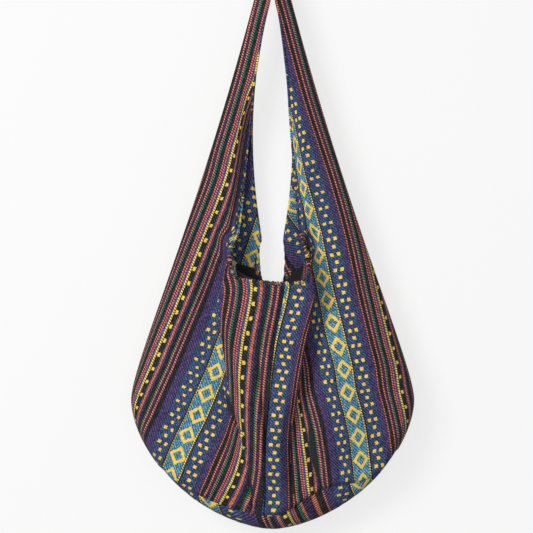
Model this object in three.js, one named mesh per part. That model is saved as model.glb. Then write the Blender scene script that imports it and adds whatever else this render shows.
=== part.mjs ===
import * as THREE from 'three';

// Slouchy sling bag of striped cloth, hanging from a hook by its shoulder strap.
// Millimetres, Z up, front towards -Y. The origin is where a hook carries the crown of the strap.
// Drops are measured down from the origin.

// Outline of the hanging bag
const BODY_WIDTH = 399;
const HIP_DROP = 608;
const BOWL_DEPTH = 181;
const BOWL_POWER = 1.72;
const CROWN_RISE = 3.6;
const CROWN_DROP = 40;
const CROWN_WIDTH = 50;
const STRAP_LEAN_DEG = 14.7;
const CROWN_STRAIGHTNESS = 28;
const STRAP_STRAIGHTNESS = 340;
const HIP_STRAIGHTNESS = 50;
const LEAN_FADE = 160;
const CROWN_SPREAD = 2.2;

// Cloth and clearances
const CLOTH = 1.6;
const FACING = 1.2;
const LINING = 1.0;
const LAYER_GAP = 0.6;
const SEAM_GAP = 0.7;

// Neck and mouth, as cut: distance of the edge from the side fold, along the cloth
const CROWN_FOLDED_WIDTH = 18;
const STRAP_FOLDED_WIDTH = 23;
const LEAST_ROW = 75;
const MOUTH_DROP = 441;
const NECK_CORNER_RISE = 21;
const FACING_RISE = 27;
const HEM_TIP_RISE = 56;
const BACK_HEM_EXTRA = 16;
const NECK_CORNER_DROP = MOUTH_DROP - NECK_CORNER_RISE;
const FACING_DROP = MOUTH_DROP - FACING_RISE;
const HEM_TIP_DROP = MOUTH_DROP - HEM_TIP_RISE;

// Base
const BASE_REVEAL = 21;
const BASE_TILT = 22;
const BASE_TILT_AT = 72;
const BASE_POWER = 2.2;
const TIP_BLEND = 0.125;

// At the base seam both cloths turn inwards, square to an oval
const SEAM_OVAL_WIDTH = 170;
const SEAM_OVAL_DEPTH = 42;
const SEAM_TURN = 0.8;

// Softness of the folds: half the length of cloth that turns in a fold
const FOLD_SOFTNESS = 9;

// Lateral places are X in millimetres, depths are distances from the plane of the side folds
const LEFT = { name: 'left', sign: -1, tipDrop: 703 };
const RIGHT = { name: 'right', sign: 1, tipDrop: 678 };

const FRONT_DEPTH = {
  face: -1,
  sideRadius: [[0, 5], [252, 7], [441, 14], [608, 26], [700, 24], [790, 18]],
  opening: [[0, 0.12], [252, 0.15], [441, 0.2], [608, 0.16], [790, 0.11]],
  seamDepth: [[0, 10], [300, 26], [441, 50], [608, 61], [700, 56], [790, 36]],
  liningDepth: [[0, 8], [300, 20], [441, 36], [608, 50], [700, 46], [790, 33]],
  seamX: [[0, 30], [441, 17], [531, 2], [593, -4], [661, -9], [790, -13]],
  hemTipDrop: HEM_TIP_DROP,
  hemExtra: 0,
  hemPower: 12,
  baseTilt: BASE_TILT,
};

const BACK_DEPTH = {
  face: 1,
  sideRadius: [[0, 5], [252, 7], [441, 12], [608, 17], [790, 17]],
  opening: [[0, 0.12], [252, 0.13], [441, 0.06], [608, 0.04], [790, 0.06]],
  seamDepth: [[0, 10], [300, 18], [441, 27], [608, 27], [790, 26]],
  liningDepth: [[0, 8], [300, 15], [441, 18], [608, 21], [790, 22]],
  seamX: [[0, -2], [790, -2]],
  neckCorner: 141,
  neckCurve: 1.95,
  hemTipDrop: NECK_CORNER_DROP,
  hemExtra: BACK_HEM_EXTRA,
  hemPower: 2,
  baseTilt: 0,
};

// Where each pleat's visible edge runs, how far it laps over the side and how far it stands out
const FRONT_LEFT = {
  ...FRONT_DEPTH,
  half: LEFT,
  neckCorner: 102,
  neckCurve: 1.65,
  ridgeX: [[250, -36], [310, -47], [389, -66], [451, -77], [480, -79], [549, -71], [613, -59], [711, -27]],
  overlap: 35,
  pleatTop: 300,
  pleatEnd: 735,
  pleatHeight: 20,
};

const FRONT_RIGHT = {
  ...FRONT_DEPTH,
  half: RIGHT,
  neckCorner: 109,
  neckCurve: 1.4,
  ridgeX: [[250, 36], [323, 42], [389, 52], [441, 61], [466, 61], [521, 50], [593, 36], [689, 16], [790, 12]],
  overlap: 28,
  pleatTop: 310,
  pleatEnd: 740,
  pleatHeight: 20,
};

const BACK_LEFT = {
  ...BACK_DEPTH,
  half: LEFT,
  ridgeX: [[300, -12], [389, -27], [420, -42], [455, -57], [560, -50], [680, -28], [790, -16]],
  overlap: 46,
  pleatTop: 330,
  pleatEnd: 740,
  pleatHeight: 7,
};

const BACK_RIGHT = {
  ...BACK_DEPTH,
  half: RIGHT,
  ridgeX: [[300, 10], [389, 22], [420, 36], [455, 50], [560, 44], [680, 22], [790, 12]],
  overlap: 38,
  pleatTop: 330,
  pleatEnd: 740,
  pleatHeight: 7,
};

// Fineness of the solids
const CROWN_ROWS = 5;
const NECK_ROWS = 8;
const BODY_ROWS = 11;
const LINING_ROWS = 8;
const FRONT_COLUMNS = [5, 2, 3, 3, 5];
const BACK_COLUMNS = [5, 2, 2, 2, 4];
const INNER_COLUMNS = [5, 3, 3];
const BASE_STATIONS = 24;
const STATION_EASE = 0.85;
const BASE_STRIPS = 6;
const STRAP_SAMPLES = 120;
const SECTION_SAMPLES = 180;
const SIDE_STEPS = 40;
const CENTRE_STEPS = 12;
const CENTRE_EASE = 0.5;
const SOFTENING_STEPS = 4;
const TANGENT_STEP = 0.01;

// Shares of a row: limits of its pleat, its fold, its flat side, and the rows that blend below the hem
const RIDGE_FIRST = 0.3;
const RIDGE_LAST = 0.95;
const VALLEY_LAST = 0.98;
const RETURN_LEAST = 0.02;
const FOLD_SHARE = 0.4;
const SIDE_SHARE = 0.5;
const INNER_SHARE = 0.6;
const HEM_BLEND = 0.3;
const EDGE_MARGIN = 6;
const INNER_MARGIN = 8;
const FACING_STEP = 1;

// Looks of the cloths
const WOVEN_COLOUR = 0x3c3a5c;
const FACING_COLOUR = 0x4a3c62;
const LINING_COLOUR = 0x1b1b1d;
const CLOTH_ROUGHNESS = 0.95;

const lerp = (a, b, t) => a + (b - a) * t;
const clamp = (x, lo, hi) => Math.min(hi, Math.max(lo, x));
const ease = (t) => {
  const c = clamp(t, 0, 1);
  return c * c * (3 - 2 * c);
};

// Smooth curve through a few [drop, value] points
function along(points, drop) {
  const last = points.length - 1;
  if (drop <= points[0][0]) return points[0][1];
  if (drop >= points[last][0]) return points[last][1];
  let k = 0;
  while (points[k + 1][0] < drop) k += 1;
  const slope = (i) => {
    const lo = points[Math.max(0, i - 1)];
    const hi = points[Math.min(last, i + 1)];
    return (hi[1] - lo[1]) / (hi[0] - lo[0]);
  };
  const span = points[k + 1][0] - points[k][0];
  const t = (drop - points[k][0]) / span;
  const a = points[k][1];
  const b = points[k + 1][1];
  const rise = t * t * (3 - 2 * t);
  const start = t * (1 - t) * (1 - t) * span * slope(k);
  const end = t * t * (t - 1) * span * slope(k + 1);
  return lerp(a, b, rise) + start + end;
}

// Straight-line reading of a list of samples that rises in its first number
function read(xs, ys, x) {
  const last = xs.length - 1;
  if (x <= xs[0]) return ys[0];
  if (x >= xs[last]) return ys[last];
  let lo = 0;
  let hi = last;
  while (hi - lo > 1) {
    const mid = (lo + hi) >> 1;
    if (xs[mid] <= x) lo = mid;
    else hi = mid;
  }
  return lerp(ys[lo], ys[hi], (x - xs[lo]) / (xs[hi] - xs[lo]));
}

function bezier(p0, p1, p2, p3, t) {
  const u = 1 - t;
  const w = [u * u * u, 3 * u * u * t, 3 * u * t * t, t * t * t];
  const mix = (i) => w[0] * p0[i] + w[1] * p1[i] + w[2] * p2[i] + w[3] * p3[i];
  return [mix(0), mix(1)];
}

// Side fold: half width and drop, from the crown to the keel
const LEAN = THREE.MathUtils.degToRad(STRAP_LEAN_DEG);
const APEX = [SEAM_GAP / 2, -CROWN_RISE];
const CROWN_END = [CROWN_WIDTH / 2, CROWN_DROP];
const HIP = [BODY_WIDTH / 2, HIP_DROP];

function crownFold(t) {
  const a = [0.5 * CROWN_END[0], APEX[1]];
  const b = [
    CROWN_END[0] - Math.sin(LEAN) * CROWN_STRAIGHTNESS,
    CROWN_END[1] - Math.cos(LEAN) * CROWN_STRAIGHTNESS,
  ];
  return bezier(APEX, a, b, CROWN_END, t);
}

function strapFold(t) {
  const a = [
    CROWN_END[0] + Math.sin(LEAN) * STRAP_STRAIGHTNESS,
    CROWN_END[1] + Math.cos(LEAN) * STRAP_STRAIGHTNESS,
  ];
  const b = [HIP[0], HIP[1] - HIP_STRAIGHTNESS];
  return bezier(CROWN_END, a, b, HIP, t);
}

const strapSamples = Array.from({ length: STRAP_SAMPLES + 1 }, (_, i) => strapFold(i / STRAP_SAMPLES));
const strapDrops = strapSamples.map((p) => p[1]);
const strapHalves = strapSamples.map((p) => p[0]);

function bowl(x) {
  const q = Math.min(1, Math.abs(x) / HIP[0]);
  return HIP_DROP + BOWL_DEPTH * (1 - q ** BOWL_POWER) ** (1 / BOWL_POWER);
}

function halfWidth(drop) {
  if (drop <= HIP_DROP) return read(strapDrops, strapHalves, drop);
  const q = Math.min(1, (drop - HIP_DROP) / BOWL_DEPTH);
  return HIP[0] * (1 - q ** BOWL_POWER) ** (1 / BOWL_POWER);
}

// Drop of the seam between body and base, seen from the front
function baseSeam(sheet, x) {
  const tip = halfWidth(sheet.half.tipDrop);
  const even = BASE_REVEAL * Math.max(0, 1 - (x / tip) ** 2);
  const lift = Math.max(0, 1 - ((x - BASE_TILT_AT) / BASE_TILT_AT) ** 2);
  return bowl(x) - even - sheet.baseTilt * lift * lift;
}

// Levels: 0 to 1 down the crown, 1 to 2 down strap and neck, 2 to 3 down the body
const neckLevel = (drop) => 1 + (drop - CROWN_DROP) / (MOUTH_DROP - CROWN_DROP);
const CORNER_LEVEL = neckLevel(NECK_CORNER_DROP);
const FACING_LEVEL = neckLevel(FACING_DROP);
const BODY_END = 3;
const LINING_END = 2.987;

function seamBottom(sheet) {
  const x = along(sheet.seamX, HIP_DROP + BOWL_DEPTH);
  return baseSeam(sheet, x);
}

function dropAt(sheet, level) {
  if (level <= 1) return CROWN_DROP * level;
  if (level <= 2) return lerp(CROWN_DROP, MOUTH_DROP, level - 1);
  return lerp(MOUTH_DROP, seamBottom(sheet), level - 2);
}

// One row of cloth from the side fold towards the centre, seen from the front
function rowFrame(sheet, level, inset) {
  const sign = sheet.half.sign;
  const drop = dropAt(sheet, level);
  if (level <= 2) {
    const start = level <= 1 ? crownFold(level) : [halfWidth(drop), drop];
    let turn = LEAN * (1 - ease((drop - CROWN_DROP) / LEAN_FADE));
    if (level < 1) {
      const ahead = crownFold(Math.min(1, level + TANGENT_STEP));
      const behind = crownFold(Math.max(0, level - TANGENT_STEP));
      turn = Math.atan2(ahead[0] - behind[0], ahead[1] - behind[1]);
    }
    const dir = [-Math.cos(turn), Math.sin(turn)];
    const from = [start[0] + dir[0] * inset, start[1] + dir[1] * inset];
    const length = Math.max(from[0] - sign * along(sheet.seamX, drop), LEAST_ROW);
    const place = (reach) => [from[0] + dir[0] * reach, from[1] + dir[1] * reach];
    return { drop, half: start[0], length, place };
  }
  const f = level - 2;
  const sideDrop = lerp(MOUTH_DROP, sheet.half.tipDrop, f);
  const start = [halfWidth(sideDrop) - inset, sideDrop];
  const end = [sign * along(sheet.seamX, drop), drop];
  const length = Math.hypot(end[0] - start[0], end[1] - start[1]);
  const tip = [halfWidth(sheet.half.tipDrop) - inset, sheet.half.tipDrop];
  const heel = [sign * along(sheet.seamX, seamBottom(sheet)), seamBottom(sheet)];
  const place = (reach) => {
    const p = reach / length;
    const x = lerp(tip[0], heel[0], p);
    const sag = baseSeam(sheet, sign * x) - lerp(tip[1], heel[1], p);
    const taper = Math.min(1, p / TIP_BLEND) * f * f;
    return [lerp(start[0], end[0], p), lerp(start[1], end[1], p) + sag * taper];
  };
  return { drop, half: start[0], length, place };
}

function pleat(sheet, drop) {
  const above = clamp((drop - sheet.pleatTop) / (MOUTH_DROP - sheet.pleatTop), 0, 1);
  const below = clamp((sheet.pleatEnd - drop) / (sheet.pleatEnd - MOUTH_DROP), 0, 1);
  return Math.min(above * above, below);
}

// Depth of the flat side of the bag, at a distance in from its fold
function sideDepth(sheet, level, drop, reach, inset) {
  const radius = along(sheet.sideRadius, drop) - inset;
  const q = clamp(1 - reach / radius, 0, 1);
  const flat = level < 1 ? CROWN_SPREAD * (1 - level) ** 2 : 0;
  return radius * Math.sqrt(1 - q * q) + (along(sheet.opening, drop) + flat) * reach;
}

function pathLengths(path) {
  const lengths = [0];
  for (let i = 1; i < path.length; i += 1) {
    lengths.push(lengths[i - 1] + Math.hypot(path[i][0] - path[i - 1][0], path[i][1] - path[i - 1][1]));
  }
  return lengths;
}

// Even steps along a path, each place averaged with the cloth on both sides of it
function soften(path, lengths, width) {
  const total = lengths[lengths.length - 1];
  const us = path.map((p) => p[0]);
  const ys = path.map((p) => p[1]);
  const taps = 2 * SOFTENING_STEPS + 1;
  const out = [];
  for (let i = 0; i <= SECTION_SAMPLES; i += 1) {
    const s = (total * i) / SECTION_SAMPLES;
    const w = Math.min(width, s, total - s);
    let u = 0;
    let y = 0;
    for (let k = -SOFTENING_STEPS; k <= SOFTENING_STEPS; k += 1) {
      u += read(lengths, us, s + (w * k) / SOFTENING_STEPS);
      y += read(lengths, ys, s + (w * k) / SOFTENING_STEPS);
    }
    out.push([u / taps, y / taps]);
  }
  return out;
}

const rowStore = new Map();

// A row of cloth as a list of points, with the length of cloth up to each of them
function row(sheet, level, inset) {
  const key = [sheet.face, sheet.half.sign, level.toFixed(6), inset].join(' ');
  if (rowStore.has(key)) return rowStore.get(key);
  const frame = rowFrame(sheet, level, inset);
  const share = pleat(sheet, frame.drop);
  const lap = inset > 0 ? 0 : sheet.overlap * share;
  const stand = inset > 0 ? 0 : sheet.pleatHeight * share;
  const ridgePlace = frame.half - sheet.half.sign * along(sheet.ridgeX, frame.drop) - inset;
  const ridge = clamp(ridgePlace, RIDGE_FIRST * frame.length, RIDGE_LAST * frame.length);
  const valley = Math.min(ridge + sheet.overlap * share, VALLEY_LAST * frame.length);
  const depth = (u) => sideDepth(sheet, level, frame.drop, u, inset);
  const path = [];
  for (let i = 0; i <= SIDE_STEPS; i += 1) {
    const u = valley * (i / SIDE_STEPS) ** 2;
    path.push([u, depth(u)]);
  }
  const seam = inset > 0 ? along(sheet.liningDepth, frame.drop) : along(sheet.seamDepth, frame.drop);
  const from = [ridge, depth(ridge) + stand];
  const lead = inset > 0 ? [valley, depth(valley)] : from;
  if (lap > 0) path.push(from);
  for (let i = 1; i <= CENTRE_STEPS; i += 1) {
    const t = i / CENTRE_STEPS;
    path.push([lerp(lead[0], frame.length, t), lerp(lead[1], seam, lerp(t, ease(t), CENTRE_EASE))]);
  }
  const sharpLengths = pathLengths(path);
  const soft = soften(path, sharpLengths, FOLD_SOFTNESS);
  const points = soft.map(([u, y]) => {
    const [q, drop] = frame.place(u);
    return new THREE.Vector3(sheet.half.sign * q, sheet.face * y, -drop);
  });
  const lengths = [0];
  for (let i = 1; i < points.length; i += 1) {
    lengths.push(lengths[i - 1] + points[i].distanceTo(points[i - 1]));
  }
  const reaches = soft.map((p) => p[0]);
  const total = lengths[lengths.length - 1];
  const sharpTotal = sharpLengths[sharpLengths.length - 1];
  const steps = lengths.map((_, i) => (sharpTotal * i) / SECTION_SAMPLES);
  const valleyAt = read(steps, lengths, sharpLengths[SIDE_STEPS]);
  const turned = lap > 0 ? read(steps, lengths, sharpLengths[SIDE_STEPS + 1]) : valleyAt;
  const ridgeAt = Math.max(turned, valleyAt + RETURN_LEAST * total);
  const arc = 0.5 * Math.PI * (along(sheet.sideRadius, frame.drop) - inset);
  const made = { points, lengths, reaches, total, valleyAt, ridgeAt, arc };
  rowStore.set(key, made);
  return made;
}

function pointOn(line, s) {
  const at = (pick) => read(line.lengths, line.points.map(pick), s);
  return new THREE.Vector3(at((p) => p.x), at((p) => p.y), at((p) => p.z));
}

// Length of cloth from the side fold to the neck edge
function neckWidth(sheet, level) {
  if (level < 1) return lerp(CROWN_FOLDED_WIDTH, STRAP_FOLDED_WIDTH, level);
  const t = clamp((level - 1) / (CORNER_LEVEL - 1), 0, 1);
  return lerp(STRAP_FOLDED_WIDTH, sheet.neckCorner, t ** sheet.neckCurve);
}

// Level of the mouth hem: along the return of the pleat up to its tip, then down and on to the centre seam
function hemLevel(sheet, returned, crossed) {
  const tip = neckLevel(sheet.hemTipDrop);
  const end = 2 + sheet.hemExtra / (seamBottom(sheet) - MOUTH_DROP);
  return lerp(lerp(CORNER_LEVEL, tip, returned), end, 1 - (1 - crossed) ** sheet.hemPower);
}

// Level of the top of the lining, from the neck corner to the centre seam
function liningTop(sheet, crossed) {
  const end = 2 + sheet.hemExtra / (seamBottom(sheet) - MOUTH_DROP);
  return lerp(CORNER_LEVEL, end, 1 - (1 - crossed) ** 2);
}

// Cloth lengths at the ends of a row's column groups
function outerStops(sheet, level, down) {
  const line = row(sheet, level, 0);
  const seam = line.total - SEAM_GAP / 2;
  const neck = Math.min(neckWidth(sheet, level), seam - 2 * EDGE_MARGIN);
  const arc = Math.min(line.arc, FOLD_SHARE * neck);
  const edge = clamp(line.ridgeAt, neck + EDGE_MARGIN / 2, seam - EDGE_MARGIN);
  const early = [arc, lerp(arc, neck, SIDE_SHARE), neck, edge, seam];
  if (down <= 0) return early;
  const ridge = Math.min(line.ridgeAt, seam - EDGE_MARGIN);
  const valley = Math.min(line.valleyAt, ridge - EDGE_MARGIN / 2);
  const late = [line.arc, lerp(line.arc, valley, SIDE_SHARE), valley, ridge, seam];
  const t = ease(down / HEM_BLEND);
  return early.map((e, i) => lerp(e, late[i], t));
}

function innerStops(sheet, level, down, inset) {
  const outer = row(sheet, level, 0);
  const line = row(sheet, level, inset);
  const seam = line.total - SEAM_GAP / 2;
  const edge = read(outer.lengths, outer.reaches, neckWidth(sheet, level));
  const neck = Math.min(read(line.reaches, line.lengths, edge - inset - FACING_STEP), seam - INNER_MARGIN);
  const early = [Math.min(line.arc, FOLD_SHARE * neck), neck, seam];
  if (down <= 0) return early;
  const late = [line.arc, INNER_SHARE * seam, seam];
  const t = ease(down / HEM_BLEND);
  return early.map((e, i) => lerp(e, late[i], t));
}

// Place along the cloth for a column, counted from the side fold
function columnPlace(stops, groups, column) {
  let first = 0;
  let from = 0;
  for (let g = 0; g < groups.length; g += 1) {
    if (column <= first + groups[g]) {
      const t = (column - first) / groups[g];
      return lerp(from, stops[g], t);
    }
    first += groups[g];
    from = stops[g];
  }
  return from;
}

const sum = (list) => list.reduce((a, b) => a + b, 0);

// Rows of a half, each with the level of its side fold and how far it is down the body
function bodyRows(from, to, count) {
  const rows = [];
  for (let i = 0; i <= count; i += 1) rows.push(lerp(from, to, i / count));
  return rows;
}

const crownLevels = bodyRows(0, 1, CROWN_ROWS);
const neckLevels = bodyRows(1, CORNER_LEVEL, NECK_ROWS).slice(1);

// Two sheets that share a side fold, as one grid of points with gaps where there is no cloth
function halfGrid(front, back, levels, downs, end, inset) {
  const sheets = [
    { sheet: front, groups: inset > 0 ? INNER_COLUMNS : FRONT_COLUMNS },
    { sheet: back, groups: inset > 0 ? INNER_COLUMNS : BACK_COLUMNS },
  ];
  const grid = [];
  const rowsInAll = levels.length + downs.length;
  for (let i = 0; i < rowsInAll; i += 1) {
    const down = i < levels.length ? -1 : downs[i - levels.length];
    const line = [];
    sheets.forEach(({ sheet, groups }, side) => {
      const count = sum(groups);
      const ridge = count - groups[groups.length - 1];
      const inner = inset > 0 ? ridge : ridge - groups[groups.length - 2];
      const cells = [];
      for (let k = side; k <= count; k += 1) {
        if (down < 0 && k > inner) {
          cells.push(null);
          continue;
        }
        const returned = clamp((k - inner) / (ridge - inner), 0, 1);
        const crossed = clamp((k - ridge) / (count - ridge), 0, 1);
        const top = inset > 0 ? liningTop(sheet, crossed) : hemLevel(sheet, returned, crossed);
        const level = down < 0 ? levels[i] : lerp(top, end, down);
        const stops = inset > 0 ? innerStops(sheet, level, down, inset) : outerStops(sheet, level, down);
        cells.push(pointOn(row(sheet, level, inset), columnPlace(stops, groups, k)));
      }
      if (side === 0) cells.reverse();
      line.push(...cells);
    });
    grid.push(line);
  }
  return grid;
}

// Outward normals of a grid, from the neighbours that are there
function gridNormals(grid, flip) {
  return grid.map((line, i) =>
    line.map((p, j) => {
      if (!p) return null;
      const pick = (a, b) => (grid[a] && grid[a][b]) || null;
      const up = pick(i - 1, j) || p;
      const low = pick(i + 1, j) || p;
      const left = pick(i, j - 1) || p;
      const right = pick(i, j + 1) || p;
      const along1 = low.clone().sub(up);
      const along2 = right.clone().sub(left);
      return along2.cross(along1).normalize().multiplyScalar(flip);
    }),
  );
}

// Closed sheet from a grid, its inner side one thickness in
function sheetGeometry(grid, flip, thickness, rim) {
  const normals = gridNormals(grid, flip);
  const positions = [];
  const index = grid.map((line) => line.map(() => -1));
  const points = [];
  grid.forEach((line, i) =>
    line.forEach((p, j) => {
      if (!p) return;
      index[i][j] = points.length;
      const given = rim ? rim(i, j, p) : null;
      const inward = given || normals[i][j].clone().multiplyScalar(-thickness);
      points.push({ outer: p, inner: p.clone().add(inward) });
    }),
  );
  points.forEach((p) => positions.push(p.outer.x, p.outer.y, p.outer.z));
  points.forEach((p) => positions.push(p.inner.x, p.inner.y, p.inner.z));
  const shift = points.length;
  const faces = [];
  const edges = new Map();
  const face = (a, b, c) => {
    const tri = flip > 0 ? [a, c, b] : [a, b, c];
    faces.push(tri);
    faces.push([tri[0] + shift, tri[2] + shift, tri[1] + shift]);
    for (let k = 0; k < 3; k += 1) {
      const from = tri[k];
      const to = tri[(k + 1) % 3];
      const back = `${to} ${from}`;
      if (edges.has(back)) edges.delete(back);
      else edges.set(`${from} ${to}`, [from, to]);
    }
  };
  for (let i = 0; i + 1 < grid.length; i += 1) {
    for (let j = 0; j + 1 < grid[i].length; j += 1) {
      const corner = [index[i][j], index[i][j + 1], index[i + 1][j], index[i + 1][j + 1]];
      if (corner.some((c) => c < 0)) continue;
      face(corner[0], corner[2], corner[1]);
      face(corner[1], corner[2], corner[3]);
    }
  }
  edges.forEach(([from, to]) => {
    faces.push([to, from, from + shift]);
    faces.push([to, from + shift, to + shift]);
  });
  const geometry = new THREE.BufferGeometry();
  geometry.setAttribute('position', new THREE.Float32BufferAttribute(positions, 3));
  geometry.setIndex(faces.flat());
  geometry.computeVertexNormals();
  return geometry;
}

// Slant along which a cloth turns inwards at the base seam
function mitre(p, thickness) {
  const inwards = new THREE.Vector3(-p.x / SEAM_OVAL_WIDTH ** 2, -p.y / SEAM_OVAL_DEPTH ** 2, 0).normalize();
  inwards.z = 1;
  return inwards.multiplyScalar(SEAM_TURN * thickness);
}

const bodyDowns = bodyRows(0, 1, BODY_ROWS);
const FACING_INSET = CLOTH + LAYER_GAP;

function outerHalf(front, back) {
  const levels = [...crownLevels, ...neckLevels.slice(0, -1)];
  return halfGrid(front, back, levels, bodyDowns, BODY_END, 0);
}

function facingHalf(front, back) {
  const neck = bodyRows(1, FACING_LEVEL, NECK_ROWS).slice(1);
  return halfGrid(front, back, [...crownLevels, ...neck], [], BODY_END, FACING_INSET);
}

function liningHalf(front, back) {
  const top = FACING_LEVEL + LAYER_GAP / (MOUTH_DROP - CROWN_DROP);
  return halfGrid(front, back, [top], bodyRows(0, 1, LINING_ROWS), LINING_END, FACING_INSET);
}

// Front and back rows at the base seam, from the left tip to the right tip
function seamLine(left, right) {
  const a = row(left, BODY_END, 0).points;
  const b = row(right, BODY_END, 0).points;
  return [...a, ...b.slice(0, -1).reverse()];
}

function baseGrid() {
  const front = seamLine(FRONT_LEFT, FRONT_RIGHT);
  const back = seamLine(BACK_LEFT, BACK_RIGHT);
  const first = Math.max(front[0].x, back[0].x) + SEAM_GAP;
  const last = Math.min(front[front.length - 1].x, back[back.length - 1].x) - SEAM_GAP;
  const pick = (line, x, key) => read(line.map((p) => p.x), line.map((p) => p[key]), x);
  const grid = [];
  for (let i = 0; i <= BASE_STATIONS; i += 1) {
    const t = i / BASE_STATIONS;
    const x = lerp(first, last, lerp(t, (1 - Math.cos(Math.PI * t)) / 2, STATION_EASE));
    const line = [];
    const yFront = pick(front, x, 'y') + SEAM_GAP;
    const yBack = pick(back, x, 'y') - SEAM_GAP;
    const keel = -bowl(x);
    for (let k = 0; k <= BASE_STRIPS; k += 1) {
      const e = (2 * k) / BASE_STRIPS - 1;
      const rim = pick(e < 0 ? front : back, x, 'z');
      const z = lerp(Math.min(keel, rim), rim, Math.abs(e) ** BASE_POWER);
      line.push(new THREE.Vector3(x, lerp(yFront, yBack, (e + 1) / 2), z));
    }
    grid.push(line);
  }
  return grid;
}

function material(colour) {
  return new THREE.MeshStandardMaterial({ color: colour, roughness: CLOTH_ROUGHNESS, metalness: 0 });
}

const group = new THREE.Group();
group.name = 'crossbody_bag';

function addMesh(name, geometry, colour) {
  const mesh = new THREE.Mesh(geometry, material(colour));
  mesh.name = name;
  group.add(mesh);
}

const rimAtEnd = (grid, thickness) => (i, j, p) => (i === grid.length - 1 ? mitre(p, thickness) : null);
const rimAllRound = (grid, thickness) => (i, j, p) => {
  const edge = i === 0 || j === 0 || i === grid.length - 1 || j === grid[0].length - 1;
  return edge ? mitre(p, thickness) : null;
};

const halves = [
  { half: LEFT, front: FRONT_LEFT, back: BACK_LEFT, flip: -1 },
  { half: RIGHT, front: FRONT_RIGHT, back: BACK_RIGHT, flip: 1 },
];

halves.forEach(({ half, front, back, flip }) => {
  const outer = outerHalf(front, back);
  addMesh(`${half.name}_panel`, sheetGeometry(outer, flip, CLOTH, rimAtEnd(outer, CLOTH)), WOVEN_COLOUR);
  const facing = facingHalf(front, back);
  addMesh(`${half.name}_facing`, sheetGeometry(facing, flip, FACING, null), FACING_COLOUR);
  const lining = liningHalf(front, back);
  const liningRim = rimAtEnd(lining, LINING);
  addMesh(`${half.name}_lining`, sheetGeometry(lining, flip, LINING, liningRim), LINING_COLOUR);
});

const base = baseGrid();
addMesh('base_panel', sheetGeometry(base, 1, CLOTH, rimAllRound(base, CLOTH)), WOVEN_COLOUR);
const baseNormals = gridNormals(base, 1);
const baseRim = rimAllRound(base, FACING_INSET);
const baseShift = (p, i, j) => baseRim(i, j, p) || baseNormals[i][j].clone().multiplyScalar(-FACING_INSET);
const floor = base.map((line, i) => line.map((p, j) => p.clone().add(baseShift(p, i, j))));
addMesh('base_lining', sheetGeometry(floor, 1, LINING, rimAllRound(floor, LINING)), LINING_COLOUR);

export default group;
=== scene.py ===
"""Slouchy sling bag of striped woven cloth, hanging by its strap in front of a pale wall.

Shapes are worked out in millimetres, with drops measured down from the point that carries the strap,
and become metres in the meshes.
"""

import logging
import math
from dataclasses import dataclass, field, replace
from enum import Enum, IntEnum
from functools import cached_property, lru_cache

import bmesh
import bpy
import numpy as np
from bpy.types import GeometryNodeTree, Material, Mesh, Node, NodeSocket, NodeTree, Object, ShaderNodeTree
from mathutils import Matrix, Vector


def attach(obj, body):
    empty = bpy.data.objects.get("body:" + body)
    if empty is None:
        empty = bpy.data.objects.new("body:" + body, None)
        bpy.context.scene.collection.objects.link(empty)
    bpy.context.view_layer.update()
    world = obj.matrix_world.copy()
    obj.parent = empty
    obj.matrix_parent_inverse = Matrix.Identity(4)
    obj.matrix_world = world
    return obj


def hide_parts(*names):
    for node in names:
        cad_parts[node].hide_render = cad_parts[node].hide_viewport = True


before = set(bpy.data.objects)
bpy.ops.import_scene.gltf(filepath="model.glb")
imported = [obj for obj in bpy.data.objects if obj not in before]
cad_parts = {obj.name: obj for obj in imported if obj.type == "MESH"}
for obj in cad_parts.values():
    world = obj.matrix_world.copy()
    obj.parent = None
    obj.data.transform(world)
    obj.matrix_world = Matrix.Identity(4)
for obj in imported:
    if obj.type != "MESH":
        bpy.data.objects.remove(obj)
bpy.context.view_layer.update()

log = logging.getLogger("sling_bag")
Array = np.ndarray
Number = float | Array
Pair = tuple[float, float]
Feed = bpy.types.bpy_struct | float | tuple

MM = 0.001
TINY = 1e-9
TURN = 2 * math.pi
BODY = "root"
WOVEN, FACING, LINING = "woven_cloth", "facing_cloth", "lining_cloth"
WEAVE_MAP, LOOM_PLACE = "weave", "loom"
FLOAT, COLOUR = "NodeSocketFloat", "NodeSocketColor"
CROWN_ROWS, NECK_ROWS, BODY_ROWS, LINING_ROWS = 24, 60, 90, 36
SIDE_STEPS, FRONT_STEPS = 60, 20
SEAM_OVAL, SEAM_TURN = (170.0, 42.0), 0.8
SHARP_ANGLE = math.radians(70)
LOOP_SIDES, YARN_SIDES, LOOP_SIZES = 8, 4, (0.8, 1.15)


def lerp(a: Number, b: Number, t: Number) -> Number:
    """Returns the value that lies t of the way from a to b."""
    return a + (b - a) * t


def ease(t: Number) -> Number:
    """Returns t from 0 to 1 with a soft start and end."""
    c = np.clip(t, 0.0, 1.0)
    return c * c * (3 - 2 * c)


def between(x: Number, a: float, b: float, c: float, d: float) -> Number:
    """Returns a soft rise from a to b and a soft fall from c to d."""
    return ease((x - a) / (b - a)) * (1 - ease((x - c) / (d - c)))


def bell(off: Number, width: float) -> Number:
    """Returns 1 at no distance, falling away on both sides over a width."""
    return np.exp(-((off / width) ** 2))


def unit(vectors: Array) -> Array:
    """Returns the directions of vectors."""
    return vectors / np.maximum(np.linalg.norm(vectors, axis=-1, keepdims=True), TINY)


def grown(points: Array) -> Array:
    """Returns the length of each path up to each of its points."""
    steps = np.linalg.norm(np.diff(points, axis=-2), axis=-1)
    return np.insert(np.cumsum(steps, -1), 0, 0.0, axis=-1)


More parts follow.
